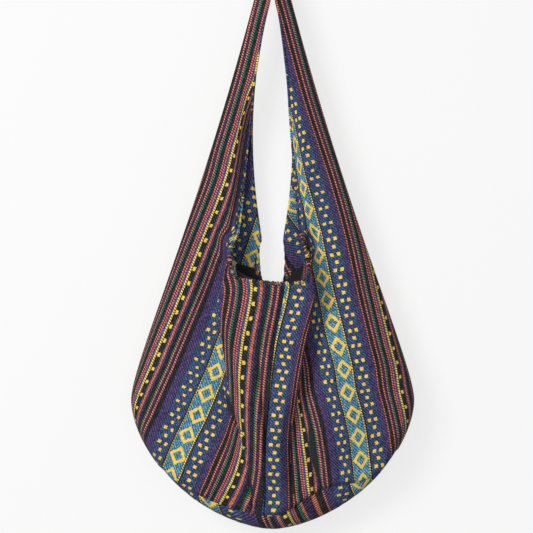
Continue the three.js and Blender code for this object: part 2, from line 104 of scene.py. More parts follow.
def bezier(points: tuple[Pair, ...], t: Number) -> list[Number]:
    """Returns the place on a cubic curve with four control points, at t."""
    weights = ((1 - t) ** 3, 3 * (1 - t) ** 2 * t, 3 * (1 - t) * t * t, t**3)
    return [sum(w * p[i] for w, p in zip(weights, points)) for i in (0, 1)]


@dataclass(frozen=True)
class Run:
    """A smooth curve through a few (place, value) points, level beyond its ends."""

    points: tuple[Pair, ...]

    def at(self, place: Number) -> Number:
        """Reads the curve.

        Args:
            place: One place or several.

        Returns:
            The value at each place.
        """
        xs, ys = np.array(self.points, float).T
        number = np.arange(len(xs))
        low, high = np.maximum(number - 1, 0), np.minimum(number + 1, len(xs) - 1)
        slopes = (ys[high] - ys[low]) / (xs[high] - xs[low])
        x = np.clip(place, xs[0], xs[-1])
        k = np.clip(np.searchsorted(xs, x) - 1, 0, len(xs) - 2)
        span = xs[k + 1] - xs[k]
        t = (x - xs[k]) / span
        bend = t * (1 - t) ** 2 * slopes[k] + t * t * (t - 1) * slopes[k + 1]
        return lerp(ys[k], ys[k + 1], ease(t)) + span * bend

    def slope(self, place: Number, step: float = 4.0) -> Number:
        """Returns how fast the curve climbs at each place, over a short step."""
        return (self.at(np.asarray(place) + step) - self.at(np.asarray(place) - step)) / (2 * step)


@dataclass(frozen=True)
class Outline:
    """The hanging bag seen from the front: half widths and drops of its folds, its bowl and its cut edges."""

    hip: Pair = (199.5, 608.0)
    bowl_depth: float = 181.0
    bowl_power: float = 1.72
    crown: Pair = (25.0, 40.0)
    crown_rise: float = 3.6
    crown_straightness: float = 28.0
    crown_spread: float = 2.2
    crown_step: float = 0.01
    strap_lean: float = math.radians(14.7)
    strap_straightness: float = 340.0
    strap_samples: int = 241
    hip_straightness: float = 50.0
    lean_fade: float = 160.0
    seam_gap: float = 0.7
    folded_widths: Pair = (18.0, 23.0)
    least_row: float = 75.0
    mouth_drop: float = 441.0
    corner_drop: float = 420.0
    facing_drop: float = 414.0
    base_reveal: float = 21.0
    base_tilt_at: float = 72.0
    base_power: float = 2.2

    def neck_level(self, drop: float) -> float:
        """Returns the level of a drop between crown and mouth."""
        return 1 + (drop - self.crown[1]) / (self.mouth_drop - self.crown[1])

    @property
    def corner_level(self) -> float:
        """Level of the corner between neck and mouth."""
        return self.neck_level(self.corner_drop)

    def rows_above(self, end: float) -> Array:
        """Returns the levels of rows from the top of the crown down to an end."""
        return np.append(np.linspace(0, 1, CROWN_ROWS + 1), np.linspace(1, end, NECK_ROWS + 1)[1:])

    def on_strap(self, reach: float) -> Pair:
        """Returns the place at a reach along the strap's straight line from the end of the crown."""
        across, down = math.sin(self.strap_lean) * reach, math.cos(self.strap_lean) * reach
        return (self.crown[0] + across, self.crown[1] + down)

    def crown_fold(self, t: float) -> Array:
        """Returns half width and drop along the crown of the strap."""
        apex = (self.seam_gap / 2, -self.crown_rise)
        leads = ((self.crown[0] / 2, apex[1]), self.on_strap(-self.crown_straightness))
        return np.array(bezier((apex, *leads, self.crown), t))

    @cached_property
    def strap_fold(self) -> list[Array]:
        """Half widths and drops along the side fold, from the crown to the hip."""
        leads = (self.on_strap(self.strap_straightness), (self.hip[0], self.hip[1] - self.hip_straightness))
        return bezier((self.crown, *leads, self.hip), np.linspace(0, 1, self.strap_samples))

    def rounded(self, share: Number) -> Number:
        """Returns how full the bowl still is at a share of its width or depth."""
        return (1 - np.minimum(1.0, share) ** self.bowl_power) ** (1 / self.bowl_power)

    def bowl(self, x: Number) -> Number:
        """Returns the drop of the keel under a lateral place."""
        return self.hip[1] + self.bowl_depth * self.rounded(np.abs(x) / self.hip[0])

    def half_width(self, drop: float) -> float:
        """Returns half the bag's width at a drop below the crown."""
        if drop <= self.hip[1]:
            halves, drops = self.strap_fold
            return float(np.interp(drop, drops, halves))
        return float(self.hip[0] * self.rounded((drop - self.hip[1]) / self.bowl_depth))


OUTLINE = Outline()


@dataclass(frozen=True)
class Half:
    """One of the two cloth halves, left or right of the centre seams."""

    name: str
    sign: int
    tip_drop: float


@dataclass(frozen=True)
class Layer:
    """One layer of cloth: its distance inside the outer cloth, its thickness, its end and its columns."""

    inset: float
    thickness: float
    end: float = 3.0
    groups: tuple[int, ...] | None = None


LAYER_GAP = 0.6
OUTER = Layer(0.0, 1.6)
FACED = Layer(OUTER.thickness + LAYER_GAP, 1.2, groups=(16, 14, 20))
LINED = Layer(FACED.inset, 1.0, 2.987, FACED.groups)


@dataclass(frozen=True)
class Roll:
    """How the cloth beside a neck edge turns inwards: the edge's line, the turn's width, depth and cloth."""

    line: Run
    width: float
    depth: float
    cloth: float
    span: tuple[float, float, float, float] = (150.0, 240.0, 400.0, 420.0)

    def turned(self, x: Number, drop: Number) -> Number:
        """Returns how far the turn has gone at a lateral place and drop, from 0 to 1."""
        near = np.clip(1 - (np.abs(x) - self.line.at(drop)) / self.width, 0, 1) ** 2
        return near * between(drop, *self.span)


class Col(IntEnum):
    """Columns of a row's table: a point, then lengths that place it in the row's section."""

    X, Y, Z, REACH, ROLLED, AT, TOTAL, VALLEY, RIDGE, SHARE = range(10)


@dataclass(frozen=True, eq=False)
class Row:
    """One row of a wall's cloth in one layer, from the side fold to the centre."""

    wall: "Wall"
    level: float
    inset: float

    @cached_property
    def drop(self) -> float:
        """Drop of the row at the centre."""
        return self.wall.drop_at(self.level)

    @cached_property
    def radius(self) -> float:
        """Radius of the side fold."""
        return float(self.wall.side_radius.at(self.drop)) - self.inset

    @cached_property
    def line(self) -> tuple[float, float, Array, Array]:
        """Half the bag's width, the row's length, its first place and its step, seen from the front."""
        half, level = self.wall.half, self.level
        seam = half.sign * float(self.wall.seam_x.at(self.drop))
        if level > 2:
            side = lerp(OUTLINE.mouth_drop, half.tip_drop, level - 2)
            first = np.array([OUTLINE.half_width(side) - self.inset, side])
            run = np.array([seam, self.drop]) - first
            length = float(np.linalg.norm(run))
            return first[0], length, first, run / length
        fold = OUTLINE.crown_fold
        start = fold(level) if level <= 1 else np.array([OUTLINE.half_width(self.drop), self.drop])
        turn = OUTLINE.strap_lean * (1 - ease((self.drop - OUTLINE.crown[1]) / OUTLINE.lean_fade))
        if level < 1:
            near = OUTLINE.crown_step
            turn = math.atan2(*(fold(min(1, level + near)) - fold(max(0, level - near))))
        step = np.array([-math.cos(turn), math.sin(turn)])
        first = start + step * self.inset
        return start[0], max(first[0] - seam, OUTLINE.least_row), first, step

    def sag(self, share: Array) -> Number:
        """Works out how far the row hangs under its straight line.

        Args:
            share: Shares of the way from the side fold to the centre.

        Returns:
            The sag at each place.
        """
        wall, half = self.wall, self.wall.half
        if self.level <= 2:
            return 0.0
        tip = OUTLINE.half_width(half.tip_drop) - self.inset
        heel = half.sign * float(wall.seam_x.at(wall.seam_bottom))
        seam = wall.base_seam(half.sign * lerp(tip, heel, share))
        low = seam - lerp(half.tip_drop, wall.seam_bottom, share)
        return low * np.minimum(1, wall.sag_start * share) * (self.level - 2) ** 2

    def side_depth(self, reach: Number) -> Number:
        """Returns the depth of the flat side at a reach in from its fold."""
        q = np.clip(1 - reach / self.radius, 0, 1)
        flat = OUTLINE.crown_spread * max(0.0, 1 - self.level) ** 2
        return self.radius * np.sqrt(1 - q * q) + (float(self.wall.opening.at(self.drop)) + flat) * reach

    def soften(self, section: Array) -> Array:
        """Rounds the folds of a section.

        Args:
            section: Reaches and depths of its corners.

        Returns:
            Reaches and depths at even steps, each averaged with the cloth on both sides of it.
        """
        lengths = grown(section)
        s = np.linspace(0, lengths[-1], self.wall.samples + 1)
        width = np.minimum(self.wall.fold_softness, np.minimum(s, lengths[-1] - s))
        taps = np.linspace(-1, 1, self.wall.fold_taps)[:, None] * width + s
        return np.stack([np.interp(taps, lengths, line).mean(0) for line in section.T], 1)

    @cached_property
    def table(self) -> Array:
        """Points along the row, with the lengths that place them in its section."""
        wall, outer, sign = self.wall, self.inset <= 0, self.wall.half.sign
        half, length, first, step = self.line
        share = wall.pleat(self.drop)
        pleated = outer and share > 0
        ridge = half - sign * float(wall.ridge_x.at(self.drop)) - self.inset
        ridge = float(np.clip(ridge, wall.ridge_shares[0] * length, wall.ridge_shares[1] * length))
        valley = min(ridge + wall.overlap * share, wall.valley_share * length)
        side = valley * np.linspace(0, 1, SIDE_STEPS + 1) ** 2
        edge = ridge if outer else valley
        lead = self.side_depth(edge) + (wall.pleat_height * share if outer else 0.0)
        seam = (wall.seam_depth if outer else wall.lining_depth).at(self.drop)
        t = np.linspace(0, 1, FRONT_STEPS + 1)[0 if pleated else 1 :]
        depths = np.append(self.side_depth(side), lerp(lead, seam, (ease(t) + t) / 2))
        section = np.stack([np.append(side, lerp(edge, length, t)), depths], 1)
        soft = self.soften(section)
        reach, depth = soft.T
        drop = first[1] + step[1] * reach + self.sag(reach / length)
        points = np.stack([sign * (first[0] + step[0] * reach), wall.face * depth, -drop], 1)
        lengths, sharp = grown(points), grown(section)
        steps = np.linspace(0, sharp[-1], wall.samples + 1)
        valley_at, turned = np.interp(sharp[[SIDE_STEPS, SIDE_STEPS + 1]], steps, lengths)
        ridge_at = max(turned if pleated else valley_at, valley_at + wall.least_return * lengths[-1])
        marks = np.broadcast_to([lengths[-1], valley_at, ridge_at, share], (len(reach), 4))
        return np.column_stack([points, reach, grown(soft) - reach, lengths, marks])

    def read(self, places: Array) -> Array:
        """Returns lines of the table at the given lengths of cloth."""
        at = self.table[:, Col.AT]
        k = np.clip(np.searchsorted(at, places) - 1, 0, len(at) - 2)
        t = np.clip((places - at[k]) / (at[k + 1] - at[k]), 0, 1)
        return lerp(self.table[k], self.table[k + 1], t[:, None])

    def stops(self, down: float) -> Array:
        """Works out the cloth lengths at the ends of the row's column groups.

        Args:
            down: Share of the way from the hem to the base, or less than 0 above the hem.

        Returns:
            One length for each group, from the side fold to the centre.
        """
        wall, margin, arc = self.wall, self.wall.edge_margin, math.pi / 2 * self.radius
        total, valley, ridge = self.table[0, [Col.TOTAL, Col.VALLEY, Col.RIDGE]]
        neck, seam = wall.neck_width(self.level), total - OUTLINE.seam_gap / 2
        low, high = wall.inner_shares
        if self.inset > 0:
            outer = wall.row(self.level, 0.0).read(np.array([neck]))[0, Col.REACH]
            edge = outer - self.inset - wall.facing_gap
            neck = min(np.interp(edge, *self.table[:, [Col.REACH, Col.AT]].T), seam - wall.inner_margin)
            early, late = (min(arc, low * neck), neck, seam), (arc, high * seam, seam)
        else:
            neck = min(neck, seam - 2 * margin)
            start = min(arc, low * neck)
            edge = min(max(ridge, neck + margin / 2), seam - margin)
            early = (start, (start + neck) / 2, neck, edge, seam)
            ridge = min(ridge, seam - margin)
            valley = min(valley, ridge - margin / 2)
            late = (arc, (arc + valley) / 2, valley, ridge, seam)
        return lerp(np.array(early), np.array(late), ease(down / wall.hem_blend))


@dataclass(frozen=True, eq=False)
class Wall:
    """Front wall of one half, with the pleat that takes up its width at the mouth.

    Levels run from 0 to 1 over the crown, to 2 over strap and neck, and to 3 over the body.
    """

    half: Half
    ridge_x: Run
    overlap: float
    pleat_top: float
    pleat_end: float
    neck_corner: float
    neck_curve: float
    hem_slope: float = 0.0
    hollow: float = 0.0
    facing_slant: float = 0.0
    roll: Roll | None = None
    creases: tuple[Run, ...] = ()
    face: int = -1
    side_radius: Run = Run(((0, 5), (252, 7), (441, 14), (608, 26), (700, 24), (790, 18)))
    opening: Run = Run(((0, 0.12), (252, 0.15), (441, 0.2), (608, 0.16), (790, 0.11)))
    seam_depth: Run = Run(((0, 10), (300, 26), (441, 50), (608, 61), (700, 56), (790, 36)))
    lining_depth: Run = Run(((0, 8), (300, 20), (441, 36), (608, 50), (700, 46), (790, 33)))
    seam_x: Run = Run(((0, 30), (441, 17), (531, 2), (593, -4), (661, -9), (790, -13)))
    pleat_height: float = 20.0
    hem_tip_rise: float = 56.0
    hem_extra: float = 1.5
    hem_power: float = 12.0
    base_tilt: float = 22.0
    groups: tuple[int, ...] = (20, 18, 30, 20, 44)
    ridge_shares: Pair = (0.3, 0.95)
    valley_share: float = 0.98
    least_return: float = 0.02
    sag_start: float = 8.0
    fold_softness: float = 9.0
    fold_taps: int = 9
    samples: int = 300
    edge_margin: float = 6.0
    inner_margin: float = 8.0
    inner_shares: Pair = (0.4, 0.6)
    facing_gap: float = 1.0
    hem_blend: float = 0.3
    level_step: float = 0.004

    def base_seam(self, x: Number) -> Number:
        """Returns the drop of the seam between body and base at a lateral place."""
        at = OUTLINE.base_tilt_at
        even = np.maximum(0, 1 - (x / OUTLINE.half_width(self.half.tip_drop)) ** 2)
        lift = np.maximum(0, 1 - ((x - at) / at) ** 2)
        return OUTLINE.bowl(x) - OUTLINE.base_reveal * even - self.base_tilt * lift * lift

    @cached_property
    def seam_bottom(self) -> float:
        """Drop of the lower end of the centre seam."""
        return float(self.base_seam(self.seam_x.at(OUTLINE.hip[1] + OUTLINE.bowl_depth)))

    def drop_at(self, level: float) -> float:
        """Returns the drop of a level at the centre."""
        drops = (0.0, OUTLINE.crown[1], OUTLINE.mouth_drop, self.seam_bottom)
        return float(np.interp(level, range(len(drops)), drops))

    def neck_width(self, level: float) -> float:
        """Returns the length of cloth from the side fold to the neck edge."""
        crown, strap = OUTLINE.folded_widths
        t = float(np.clip((level - 1) / (OUTLINE.corner_level - 1), 0, 1))
        return lerp(crown, strap, level) if level < 1 else lerp(strap, self.neck_corner, t**self.neck_curve)

    def hem_level(self, returned: float, crossed: float, lined: bool) -> float:
        """Works out the level of the mouth hem, or of the top of the lining.

        Args:
            returned: Share of the way back over the pleat, up to its tip.
            crossed: Share of the way from that tip to the centre seam.
            lined: Whether the layer is the lining, which has no tip.

        Returns:
            The level.
        """
        corner = OUTLINE.corner_level
        end = 2 + self.hem_extra / (self.seam_bottom - OUTLINE.mouth_drop)
        if lined:
            return lerp(corner, end, 1 - (1 - crossed) ** 2)
        tip = OUTLINE.neck_level(OUTLINE.mouth_drop - self.hem_tip_rise)
        slope = self.hem_slope * returned * (1 - crossed) / (OUTLINE.mouth_drop - OUTLINE.crown[1])
        return lerp(lerp(corner, tip, returned), end, 1 - (1 - crossed) ** self.hem_power) - slope

    def pleat(self, drop: float) -> float:
        """Returns how much of the pleat is taken up at a drop."""
        mouth = OUTLINE.mouth_drop
        above = float(np.clip((drop - self.pleat_top) / (mouth - self.pleat_top), 0, 1))
        return min(above * above, float(np.clip((self.pleat_end - drop) / (self.pleat_end - mouth), 0, 1)))

    @lru_cache(maxsize=None)
    def row(self, level: float, inset: float) -> Row:
        """Returns the row at a level of the layer at an inset."""
        return Row(self, level, inset)

    def cells(self, level: float, down: float, layer: Layer, columns: slice) -> Array:
        """Reads some columns at one level, between the two nearest laid rows.

        Args:
            level: The level.
            down: Share of the way from the hem to the base, or less than 0 above the hem.
            layer: The layer of cloth.
            columns: The columns.

        Returns:
            One table line for each column.
        """
        marks = np.cumsum((0, *(layer.groups or self.groups)))
        low = math.floor(level / self.level_step)
        found = []
        for number in (low, low + 1):
            row = self.row(min(round(number * self.level_step, 6), OUTER.end), layer.inset)
            places = np.interp(np.arange(marks[-1] + 1), marks, np.append(0, row.stops(down)))
            found.append(row.read(places[columns]))
        return lerp(found[0], found[1], level / self.level_step - low)


@dataclass(frozen=True, eq=False)
class BackWall(Wall):
    """Back wall of one half, flatter and with a softer pleat."""

    pleat_top: float = 330.0
    pleat_end: float = 740.0
    neck_corner: float = 141.0
    neck_curve: float = 1.95
    face: int = 1
    side_radius: Run = Run(((0, 5), (252, 7), (441, 12), (608, 17), (790, 17)))
    opening: Run = Run(((0, 0.12), (252, 0.13), (441, 0.06), (608, 0.04), (790, 0.06)))
    seam_depth: Run = Run(((0, 10), (300, 18), (441, 27), (608, 27), (790, 26)))
    lining_depth: Run = Run(((0, 8), (300, 15), (441, 18), (608, 21), (790, 22)))
    seam_x: Run = Run(((0, -2), (790, -2)))
    pleat_height: float = 7.0
    hem_tip_rise: float = 21.0
    hem_extra: float = 16.0
    hem_power: float = 2.0
    base_tilt: float = 0.0
    groups: tuple[int, ...] = (20, 16, 20, 12, 30)


@dataclass(frozen=True)
class Drape:
    """Small movements of the hanging cloth: rolled neck edges, soft waves, puckers and sunk seams."""

    waves: tuple[tuple[float, float, float, float], ...] = (
        (1.3, 0.062, 0.021, 0.4),
        (1.0, -0.041, 0.055, 2.1),
        (0.7, 0.118, -0.034, 4.0),
    )
    wave_fade: float = 45.0
    strap_waves: float = 0.25
    body_from: Pair = (380.0, 120.0)
    pucker: tuple[float, float, float, float] = (1.6, 7.0, 12.0, 19.5)
    pucker_fade: float = 30.0
    swell: float = 3.2
    groove: tuple[float, float, float] = (3.4, 4.5, 25.0)
    crease: tuple[float, float, float] = (8.0, 4.5, 12.0)
    crease_sides: Pair = (0.35, 0.7)
    crease_fades: Pair = (60.0, 18.0)
    hollow: tuple[float, float, float] = (10.0, 18.0, 1.15)
    slant_span: tuple[float, float, float] = (330.0, 412.0, 446.0)
    slant_reach: Pair = (48.0, 34.0)

    def roll(self, wall: Wall, cells: Array) -> None:
        """Turns cloth inwards beside its neck edge, changing table lines in place."""
        if wall.roll is None:
            return
        turned = wall.roll.turned(cells[:, Col.X], -cells[:, Col.Z])
        cells[:, Col.Y] -= wall.face * wall.roll.depth * turned
        cells[:, Col.ROLLED] += wall.roll.cloth * turned

    def slant(self, wall: Wall, cells: Array) -> None:
        """Lowers the end of the facing towards the centre, changing table lines in place."""
        start, full, end = self.slant_span
        share = between(-cells[:, Col.Z], start, full, full, end)
        inwards = np.clip(self.slant_reach[0] - np.abs(cells[:, Col.X]), 0, self.slant_reach[1])
        cells[:, Col.Z] -= wall.facing_slant * share * inwards

    def creased(self, wall: Wall, x: Array, drop: Array) -> Array:
        """Works out the creases at the ends of the pleats, each with a sharp valley beside it.

        Args:
            wall: The wall that carries them.
            x: Lateral places.
            drop: Their drops.

        Returns:
            How far the cloth stands out at each place.
        """
        depth, width, lip = self.crease
        move = np.zeros_like(x)
        for line in wall.creases:
            off = wall.half.sign * (x - line.at(drop))
            share = ease((drop - line.points[0][0]) / self.crease_fades[0])
            valley = bell(np.maximum(off, self.crease_sides[0] * off), width)
            move += share * depth * (self.crease_sides[1] * bell(off + lip, lip) - valley)
        return move

    def hollowed(self, wall: Wall, cells: Array) -> Array:
        """Returns how far the side of the bag sinks beside the ridge of its pleat."""
        off = wall.half.sign * (cells[:, Col.X] - wall.ridge_x.at(-cells[:, Col.Z]))
        inside = (cells[:, Col.AT] - cells[:, Col.VALLEY]) / (cells[:, Col.RIDGE] - cells[:, Col.VALLEY])
        share = np.sqrt(cells[:, Col.SHARE]) * (1 - ease(inside))
        return wall.hollow * share * bell(off - self.hollow[0], self.hollow[1])

    def ripple(self, wall: Wall, cells: Array, inset: float) -> None:
        """Lays soft waves over the cloth and sinks its seams.

        Args:
            wall: The wall that the cells lie on.
            cells: Table lines, changed in place.
            inset: Distance of the layer inside the outer cloth.
        """
        x, drop, reach = cells[:, Col.X], -cells[:, Col.Z], cells[:, Col.REACH] + inset
        left = np.maximum(wall.base_seam(x) - drop, 0)
        body = ease((drop - self.body_from[0]) / self.body_from[1])
        fade = lerp(self.strap_waves, 1.0, body) * ease(reach / self.wave_fade) * ease(left / self.wave_fade)
        move = fade * sum(a * np.sin(kx * x + kz * drop + p) for a, kx, kz, p in self.waves)
        height, rise, *pitches = self.pucker
        low = left / rise * np.exp(1 - left / rise) * body * ease(reach / self.pucker_fade)
        move += height * low * sum(np.sin(TURN * x / pitch) for pitch in pitches) / len(pitches)
        move -= self.hollowed(wall, cells) * (self.hollow[2] if inset > 0 else 1.0)
        if inset <= 0:
            depth, width, fade = self.groove
            seam = bell(cells[:, Col.TOTAL] - cells[:, Col.AT], width)
            move += self.swell * low - depth * seam * body * ease(left / fade)
            move += self.creased(wall, x, drop) * ease(left / self.crease_fades[1])
        cells[:, Col.Y] += wall.face * move


@dataclass(frozen=True)
class Layout:
    """How the striped cloth lies on one half: places on the loom, across and along the stripes."""

    half: Half
    middle: float
    line: Run
    calm: Run
    spread: Run
    phase_at: float
    seam_place: Run
    seam_lean: float
    seam_scale: Run
    seam_stretch: float
    centre_phase: float
    facing_at: Pair
    facing_place: float
    facing_lean: float
    centre_from: Pair = (360.0, 400.0)
    calm_reach: float = 70.0
    pleat_blend: float = 40.0
    drops: tuple[float, float, int] = (-20.0, 820.0, 421)

    def side(self, x: Array, drop: Array, line: Run) -> Array:
        """Places the side of the bag on the loom.

        Args:
            x: Lateral places, with the cloth unrolled from its side fold.
            drop: Their drops.
            line: Lateral place of the diamonds at each drop.

        Returns:
            Places across and along the stripes.
        """
        steps = np.linspace(*self.drops)
        length = grown(np.stack([steps, line.at(steps)], 1))
        off = x - line.at(drop)
        far = ease(np.abs(off) / self.calm_reach)
        lean = lerp(line.slope(drop), line.slope(drop, self.calm_reach), far)
        size = np.hypot(1, lean)
        along = np.interp(drop, steps, length) - np.interp(self.phase_at, steps, length)
        return np.stack([self.middle + self.spread.at(off / size), along + off * lean / size], -1)

    def centre(self, from_seam: Array, drop: Array) -> Array:
        """Places the front between pleat and centre seam on the loom, measured from that seam."""
        off = self.half.sign * from_seam
        along = (drop - self.centre_phase) * self.seam_stretch + off * self.seam_lean
        return np.stack([self.seam_place.at(drop) + off * self.seam_scale.at(drop), along], -1)

    def front(self, cells: Array) -> Array:
        """Places cloth of the front wall on the loom, blending from side to centre inside the pleat.

        Args:
            cells: Table lines of the cloth.

        Returns:
            Places across and along the stripes.
        """
        drop, valley = -cells[..., Col.Z], cells[..., Col.VALLEY]
        side = self.side(cells[..., Col.X] - self.half.sign * cells[..., Col.ROLLED], drop, self.line)
        centre = self.centre(cells[..., Col.TOTAL] - cells[..., Col.AT], drop)
        soft = self.pleat_blend * (1 - cells[..., Col.SHARE])
        weight = ease((cells[..., Col.AT] - valley + soft) / (cells[..., Col.RIDGE] - valley + 2 * soft))
        weight *= ease((drop - self.centre_from[0]) / (self.centre_from[1] - self.centre_from[0]))
        return lerp(side, centre, weight[..., None])

    def back(self, cells: Array) -> Array:
        """Places cloth of the back wall on the loom, where it carries on round the side fold."""
        reach, drop = cells[..., Col.REACH], -cells[..., Col.Z]
        x = cells[..., Col.X] + self.half.sign * (2 * reach + cells[..., Col.ROLLED])
        share = ease(reach / self.calm_reach)[..., None]
        return lerp(self.side(x, drop, self.line), self.side(x, drop, self.calm), share)

    def facing(self, cells: Array) -> Array:
        """Places the inside of the back wall on the loom, as it is seen through the mouth."""
        down = -cells[..., Col.Z] - self.facing_at[1]
        off = cells[..., Col.X] - self.facing_at[0] - self.facing_lean * down
        size = math.hypot(1, self.facing_lean)
        return np.stack([self.facing_place + off / size, down * size + off * self.facing_lean / size], -1)


@dataclass
class Grid:
    """A net of cloth points, with nan where there is no cloth, and their places on the loom on both sides."""

    points: Array
    weave: Array
    lined: Array | None = None

    def normals(self, outward: int) -> Array:
        """Works out normals from the neighbours that are there.

        Args:
            outward: 1 or -1, which way the net's own normals turn.

        Returns:
            The outward normal at each point.
        """
        p = self.points
        padded = np.pad(p, ((1, 1), (1, 1), (0, 0)), constant_values=np.nan)

        def neighbour(i: int, j: int) -> Array:
            """Returns the points some rows and columns away, or the points themselves at an edge."""
            found = padded[1 + i : 1 + i + p.shape[0], 1 + j : 1 + j + p.shape[1]]
            return np.where(np.isnan(found), p, found)

        down = neighbour(1, 0) - neighbour(-1, 0)
        return unit(np.cross(neighbour(0, 1) - neighbour(0, -1), down) * outward)

    def rim(self, thickness: float, all_round: bool) -> Array:
        """Works out the slant that cloths take where they meet at the base seam.

        Args:
            thickness: Thickness of the cloth.
            all_round: Whether every side of the net meets the seam, or only its last row.

        Returns:
            Inward steps at the seam, with nan elsewhere.
        """
        edge = np.zeros((*self.points.shape[:2], 1), bool)
        edge[-1] = True
        if all_round:
            edge[0] = True
            edge[:, [0, -1]] = True
        inwards = unit(-self.points[..., :2] / np.square(SEAM_OVAL))
        steps = np.concatenate([inwards, np.ones_like(inwards[..., :1])], -1)
        return np.where(edge, SEAM_TURN * thickness * steps, np.nan)


def woven_mesh(name: str, points: Array, faces: list[list[int]], weave: Array) -> Mesh:
    """Makes a smooth mesh of cloth or yarn.

    Args:
        name: Name of the mesh.
        points: Its points.
        faces: Its faces.
        weave: Place of each point on the loom.

    Returns:
        The mesh, in metres, with the places on the loom as its UV map.
    """
    mesh = bpy.data.meshes.new(name)
    mesh.from_pydata((points * MM).tolist(), [], faces)
    layer = mesh.uv_layers.new(name=WEAVE_MAP)
    layer.uv.foreach_set("vector", weave[np.concatenate(faces)].astype(np.float32).ravel())
    mesh.shade_smooth()
    return mesh


def shell(
    name: str, grid: Grid, outward: int, thickness: float, rim: Array | None = None
) -> Mesh:
    """Makes a closed sheet of cloth from a net.

    Args:
        name: Name of the mesh.
        grid: The net of its outer side.
        outward: 1 or -1, which way the net's own normals turn.
        thickness: Thickness of the cloth.
        rim: Inward steps that replace the normal ones, with nan where they don't.

    Returns:
        The mesh.
    """
    there = ~np.isnan(grid.points[..., 0])
    inward = -thickness * grid.normals(outward)
    if rim is not None:
        inward = np.where(np.isnan(rim), inward, rim)
    index = np.full(there.shape, -1)
    index[there] = np.arange(there.sum())
    outer = grid.points[there]
    lined = grid.weave if grid.lined is None else grid.lined
    weave = np.concatenate([grid.weave[there], lined[there]])
    quads = np.stack([index[:-1, :-1], index[1:, :-1], index[1:, 1:], index[:-1, 1:]], -1).reshape(-1, 4)
    quads = quads[(quads >= 0).all(1)][:, ::-outward]
    shift = len(outer)
    edges = np.concatenate([quads[:, [i, (i + 1) % 4]] for i in range(4)])
    known = {tuple(e) for e in edges}
    a, b = np.array([e for e in edges if (e[1], e[0]) not in known]).T
    faces = np.concatenate([quads, quads[:, ::-1] + shift, np.stack([b, a, a + shift, b + shift], -1)])
    mesh = woven_mesh(name, np.concatenate([outer, outer + inward[there]]), faces.tolist(), weave)
    mesh.set_sharp_from_angle(angle=SHARP_ANGLE)
    mesh.update()
    return mesh


@dataclass(frozen=True)
class Strand:
    """A round length of cloth or yarn: its middle line, normals, places on the loom and two radii."""

    points: Array
    normals: Array
    weave: Array
    across: Array
    radii: Pair

    def after(self, first: int) -> "Strand":
        """Returns the length from one of its points on."""
        parts = (line[first:] for line in (self.points, self.normals, self.weave, self.across))
        return Strand(*parts, self.radii)


def strands_mesh(name: str, strands: list[Strand], sides: int = 8) -> Mesh:
    """Makes closed round lengths.

    Args:
        name: Name of the mesh.
        strands: The lengths.
        sides: Corners of their section.

    Returns:
        The mesh.
    """
    corner = np.arange(sides)
    cosine, sine = (turn(TURN * corner / sides)[None, :, None] for turn in (np.cos, np.sin))
    points, weave, faces, first = [], [], [], 0
    for strand in strands:
        side = unit(np.cross(np.gradient(strand.points, axis=0), strand.normals))[:, None]
        out = cosine * strand.normals[:, None] * strand.radii[0] + sine * side * strand.radii[1]
        points.append((strand.points[:, None] + out).reshape(-1, 3))
        around = strand.radii[0] * cosine * strand.across[:, None]
        weave.append((strand.weave[:, None] + around).reshape(-1, 2))
        rings = first + np.arange(len(strand.points))[:, None] * sides
        a, b = (rings[:-1] + corner).ravel(), (rings[:-1] + (corner + 1) % sides).ravel()
        faces += np.stack([a, b, b + sides, a + sides], -1).tolist()
        faces += [(rings[0] + corner)[::-1].tolist(), (rings[-1] + corner).tolist()]
        first += len(rings) * sides
    mesh = woven_mesh(name, np.concatenate(points), faces, np.concatenate(weave))
    shape = bmesh.new()
    shape.from_mesh(mesh)
    bmesh.ops.recalc_face_normals(shape, faces=shape.faces)
    shape.to_mesh(mesh)
    shape.free()
    mesh.update()
    return mesh


class Yarn(Enum):
    """Colours of the yarns, as they look in plain light (red, green, blue from 0 to 255)."""

    TEAL = (82, 128, 150)
    GOLD = (230, 194, 84)
    NAVY = (58, 73, 106)
    INK = (40, 41, 45)
    PURPLE = (70, 59, 95)
    PLUM = (58, 48, 76)
    ORANGE = (176, 106, 85)
    FLAME = (184, 104, 78)
    GREEN = (44, 102, 88)
    MAUVE = (172, 98, 98)
    LEMON = (200, 176, 90)
    BLUE = (66, 78, 114)

    @property
    def linear(self) -> tuple[float, ...]:
        """The colour in linear light."""
        parts = [c / 255 for c in self.value]
        return tuple(c / 12.92 if c <= 0.04045 else ((c + 0.055) / 1.055) ** 2.4 for c in parts)


THIN, PLAIN, DARK = 1.0, 0.18, 0.12


